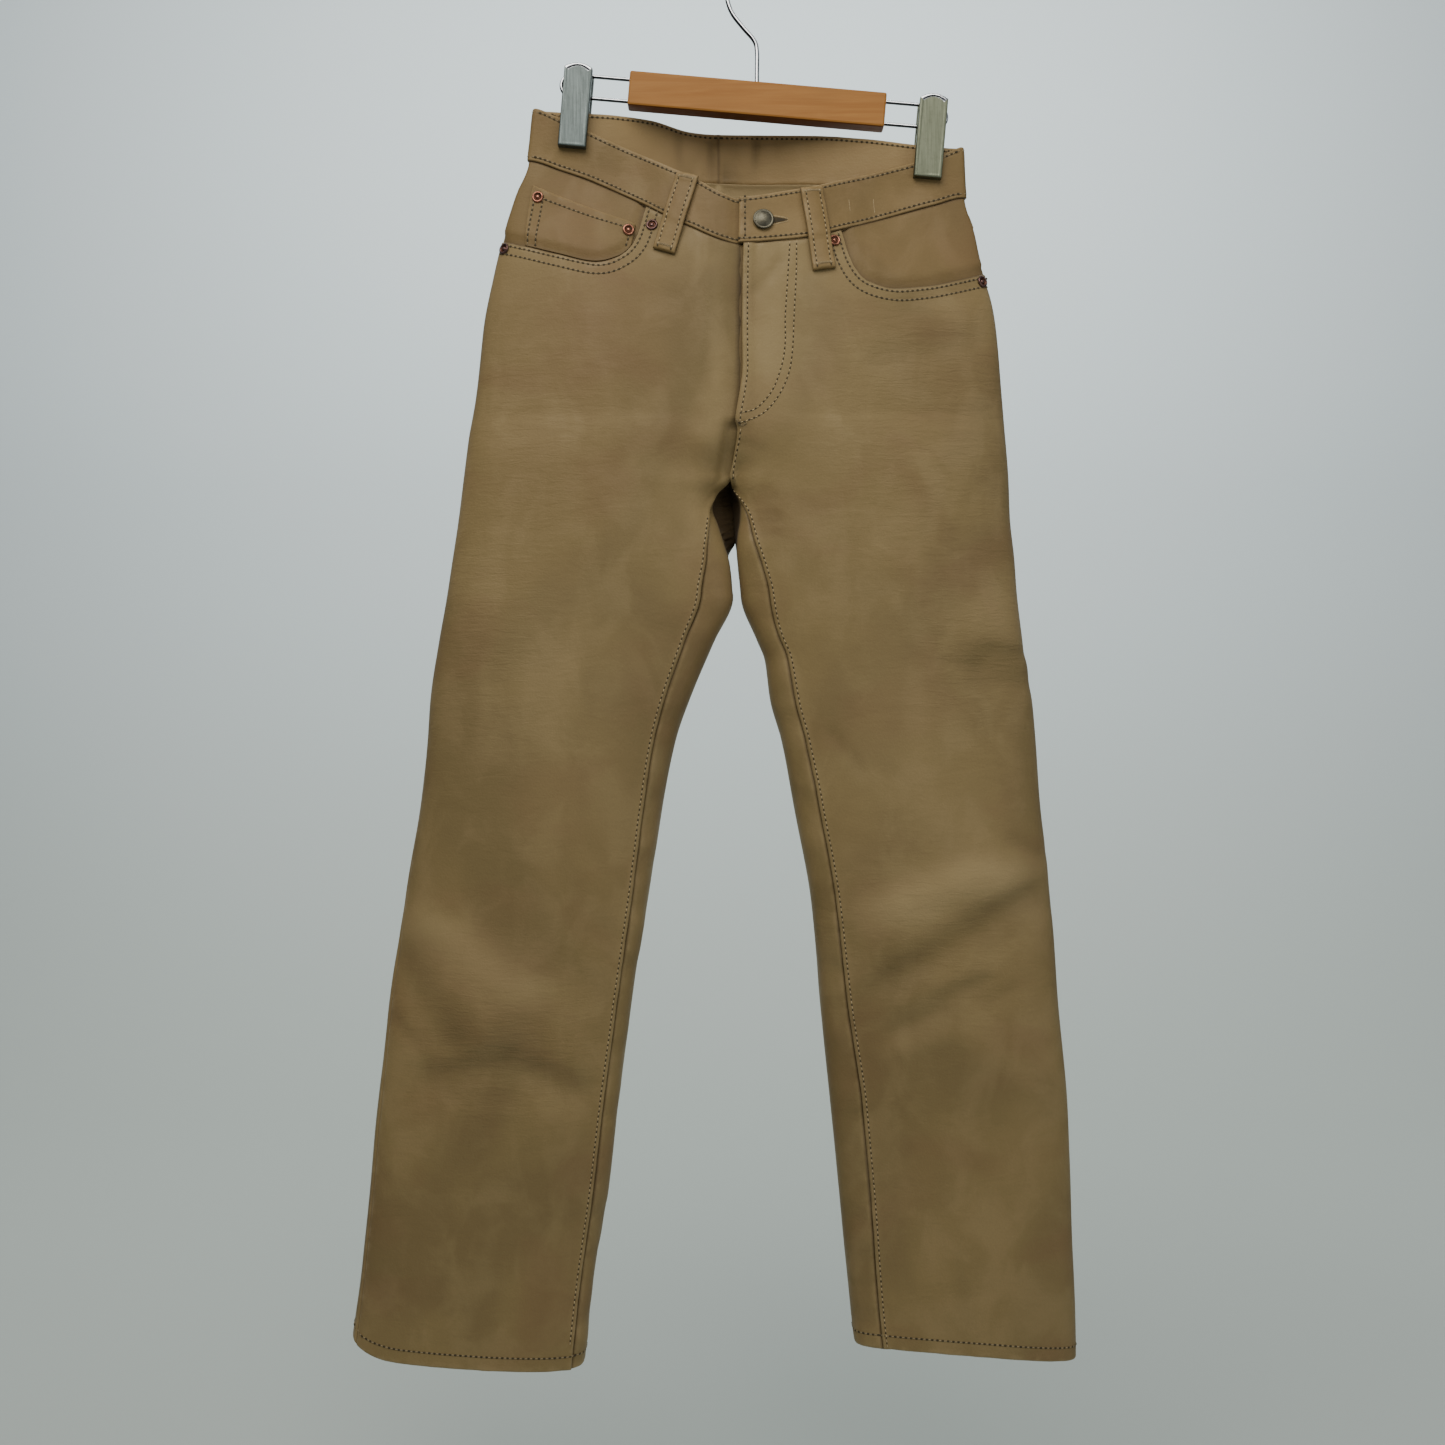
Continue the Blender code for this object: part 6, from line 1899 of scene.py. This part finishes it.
class TrousersLooks(PropertyGroup):
    """Sizes and colours that a user may change."""

    tan: FloatVectorProperty(name="Tan", description="Main colour of the leather",
                             default=(0.224, 0.157, 0.063), **COLOUR)
    # Dark Tan colours the blotches, and it is also the painted shade in folds and needle holes.
    dark: FloatVectorProperty(name="Dark Tan", description="Colour of blotches and folds",
                              default=(0.110, 0.077, 0.030), **COLOUR)
    # Light Tan colours rubbed leather, and it is also the painted highlight on rises, rims, lit patches and
    # inside the waist.
    light: FloatVectorProperty(name="Light Tan", description="Colour of rubbed leather",
                               default=(0.362, 0.262, 0.124), **COLOUR)
    thread: FloatVectorProperty(name="Thread", description="Colour of the sewing thread",
                                default=(0.50, 0.37, 0.19), **COLOUR)
    grain_scale: FloatProperty(name="Grain Scale", description="Pebbles of the grain per metre",
                               default=620.0, min=50.0, max=3000.0)
    grain_height: FloatProperty(name="Grain Height", description="Height of the leather's relief",
                                default=0.0009, min=0.0, max=0.01, unit="LENGTH", precision=5)
    leg_rows: IntProperty(name="Leg Rows", description="Rows of points from hem to crotch", default=190,
                          min=40, max=400)
    seat_rows: IntProperty(name="Seat Rows", description="Rows of points from crotch to waist", default=62,
                           min=20, max=160)
    stitch_pitch: FloatProperty(name="Stitch Pitch", description="Length from one stitch to the next, in mm",
                                default=4.2, min=1.0, max=10.0)
    steel: FloatVectorProperty(name="Steel", description="Colour of the clips",
                               default=(0.142, 0.166, 0.157), **COLOUR)
    chrome: FloatVectorProperty(name="Chrome", description="Colour of the bright wires",
                                default=(0.62, 0.63, 0.64), **COLOUR)
    copper: FloatVectorProperty(name="Copper", description="Colour of the rivets",
                                default=(0.38, 0.16, 0.10), **COLOUR)
    pewter: FloatVectorProperty(name="Pewter", description="Colour of the button",
                                default=(0.10, 0.092, 0.066), **COLOUR)
    wood: FloatVectorProperty(name="Wood", description="Light colour of the bar",
                              default=(0.385, 0.165, 0.031), **COLOUR)
    wood_dark: FloatVectorProperty(name="Dark Wood", description="Dark colour of the bar's grain",
                                   default=(0.30, 0.115, 0.021), **COLOUR)
    backdrop: FloatVectorProperty(name="Backdrop", description="Colour of the studio paper",
                                  default=(0.66, 0.73, 0.737), **COLOUR)
    sky: FloatVectorProperty(name="Studio Air", description="Colour of the light from all round",
                             default=(0.88, 0.94, 1.0), **COLOUR)
    sky_strength: FloatProperty(name="Air Strength", description="Strength of the light from all round",
                                default=0.34, min=0.0, max=5.0)
    key_power: FloatProperty(name="Key Light", description="Power of the main light, in watts", default=34.0,
                             min=0.0, max=2000.0)
    wall_power: FloatProperty(name="Wall Light", description="Power of the light on the backdrop, in watts",
                              default=98.0, min=0.0, max=2000.0)
    fill_power: FloatProperty(name="Fill Light", description="Power of the side light, in watts",
                              default=12.0, min=0.0, max=2000.0)


def outside(looks):
    return leather_material("tan_leather", looks)


# Darker copies of the leather: painted shade on the waistband and loops, the pockets and the fly shield.
def waist_shaded(looks):
    return leather_material("tan_leather_waist", looks, (0.91, 0.845, 0.77))


def facing_shaded(looks):
    return leather_material("tan_leather_pockets", looks, (0.80, 0.745, 0.68))


def shaded(looks):
    return leather_material("tan_leather_inner", looks, (0.78, 0.73, 0.66))


class TROUSERS_OT_legs(Operator):
    """Make the fronts and backs of both legs"""

    bl_idname = "trousers.make_legs"
    bl_label = "Make Legs"

    def execute(self, context):
        looks = context.scene.trousers_looks
        for side in SIDES:
            for face in (FRONT, BACK):
                make_leg_panel(side, face, looks, outside(looks))
        return {"FINISHED"}


class TROUSERS_OT_yokes(Operator):
    """Make the back yokes"""

    bl_idname = "trousers.make_yokes"
    bl_label = "Make Yokes"

    def execute(self, context):
        for side in SIDES:
            make_yoke(side, outside(context.scene.trousers_looks))
        return {"FINISHED"}


class TROUSERS_OT_pockets(Operator):
    """Make the pocket facings and the coin pocket"""

    bl_idname = "trousers.make_pockets"
    bl_label = "Make Pockets"

    def execute(self, context):
        looks = context.scene.trousers_looks
        for side in SIDES:
            make_facing(side, facing_shaded(looks))
        make_coin_pocket(facing_shaded(looks))
        return {"FINISHED"}


class TROUSERS_OT_waistband(Operator):
    """Make the waistband, the fly's underlap and the belt loops"""

    bl_idname = "trousers.make_waistband"
    bl_label = "Make Waistband"

    def execute(self, context):
        looks = context.scene.trousers_looks
        make_fly_shield(shaded(looks))
        for side in SIDES:
            make_band(side, waist_shaded(looks))
        for name, face, top, bottom in LOOPS:
            make_loop(name, face, top, bottom, waist_shaded(looks))
        return {"FINISHED"}


class TROUSERS_OT_stitches(Operator):
    """Sew every visible row of stitches"""

    bl_idname = "trousers.sew"
    bl_label = "Sew"

    def execute(self, context):
        looks = context.scene.trousers_looks
        # The second thread is a darker copy of the first: painted shade on every group of rows but the fly,
        # legs and loops.
        pale, worn = thread_material("thread", looks), thread_material("thread_worn", looks, 0.62)
        dark = needle_hole_material("needle_hole", looks)
        pitch = looks.stitch_pitch
        band, inside = band_rows()
        loops, loop_tacks = loop_rows()
        legs, hems = leg_rows()
        groups = {"band": band, "band_inside": inside, "pockets": pocket_rows(), "fly": fly_rows(),
                  "legs": legs, "hems": hems, "seat": seat_rows(), "loops": loops}
        for name, rows in groups.items():
            upright = name in ("fly", "legs", "loops")
            sew("stitches_" + name, rows, pale if upright else worn, pitch, pitch * 0.62, 0.9, 0.8, 0.0, 0.10)
            sew("needle_holes_" + name, rows, dark, pitch, pitch * (0.46 if upright else 0.62),
                1.4 if upright else 1.9, 0.42, pitch / 2)
        sew("scratches", scratch_rows(), pale, 1.0, 1.0, 0.55, 0.08)
        tacks = thread_material("thread_tacks", looks, 0.72)
        sew("tacks", loop_tacks + tack_rows(), tacks, 0.62, 0.5, 2.2, 0.6)
        return {"FINISHED"}


class TROUSERS_OT_fastenings(Operator):
    """Make the button, its buttonhole and the rivets"""

    bl_idname = "trousers.make_fastenings"
    bl_label = "Make Fastenings"

    def execute(self, context):
        looks = context.scene.trousers_looks
        make_button(metal_material("pewter", tuple(looks.pewter), 0.34, 0.1, 0.5))
        make_rivets(metal_material("copper", tuple(looks.copper), 0.24, 0.1, 0.6),
                    metal_material("copper_well", tuple(c * 0.28 for c in looks.copper), 0.5, 0.1, 0.5),
                    metal_material("copper_tarnished", (0.15, 0.085, 0.075), 0.3, 0.1, 0.6))
        make_buttonhole(thread_material("thread", looks), needle_hole_material("needle_hole", looks))
        return {"FINISHED"}


class TROUSERS_OT_hanger(Operator):
    """Make the hook, bar, wires and clips"""

    bl_idname = "trousers.make_hanger"
    bl_label = "Make Hanger"

    def execute(self, context):
        looks = context.scene.trousers_looks
        chrome = metal_material("bright_chrome", tuple(looks.chrome), 0.08, 0.05, 0.05, 0.92)
        make_hook(chrome)
        make_wire_loops(chrome)
        for side in SIDES:
            warmth = (1.0, 1.0, 1.0) if side == "left" else (1.2, 1.1, 0.80)
            tint = tuple(c * w for c, w in zip(looks.steel, warmth))
            make_clip(side, metal_material("clip_steel_" + side, tint, 0.42, 0.3, 0.1), chrome)
        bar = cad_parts["hanger_bar"]
        bar.data.materials.clear()
        bar.data.materials.append(wood_material("bar_wood_grain", looks))
        return {"FINISHED"}


class TROUSERS_OT_stage(Operator):
    """Make the studio floor, lights and camera"""

    bl_idname = "trousers.make_stage"
    bl_label = "Make Stage"

    def execute(self, context):
        make_stage(context.scene.trousers_looks)
        make_cards()
        make_lights(context.scene.trousers_looks)
        make_camera()
        return {"FINISHED"}


class TROUSERS_PT_sidebar(Panel):
    """Lists the pieces and their settings"""

    bl_idname = "TROUSERS_PT_sidebar"
    bl_label = "Leather Trousers"
    bl_space_type = "VIEW_3D"
    bl_region_type = "UI"
    bl_category = "Trousers"

    def draw(self, context):
        looks = context.scene.trousers_looks
        for name in looks.__annotations__:
            self.layout.prop(looks, name)
        for step in STEPS:
            self.layout.operator(step.bl_idname)


STEPS = (TROUSERS_OT_stage, TROUSERS_OT_legs, TROUSERS_OT_yokes, TROUSERS_OT_pockets, TROUSERS_OT_waistband,
         TROUSERS_OT_fastenings, TROUSERS_OT_stitches, TROUSERS_OT_hanger)
CLASSES = (TrousersLooks,) + STEPS + (TROUSERS_PT_sidebar,)


def register():
    for each in CLASSES:
        bpy.utils.register_class(each)
    bpy.types.Scene.trousers_looks = PointerProperty(type=TrousersLooks)


def unregister():
    del bpy.types.Scene.trousers_looks
    for each in reversed(CLASSES):
        bpy.utils.unregister_class(each)


def main():
    register()
    for step in STEPS:
        group, name = step.bl_idname.split(".")
        getattr(getattr(bpy.ops, group), name)()


if __name__ == "__main__":
    main()
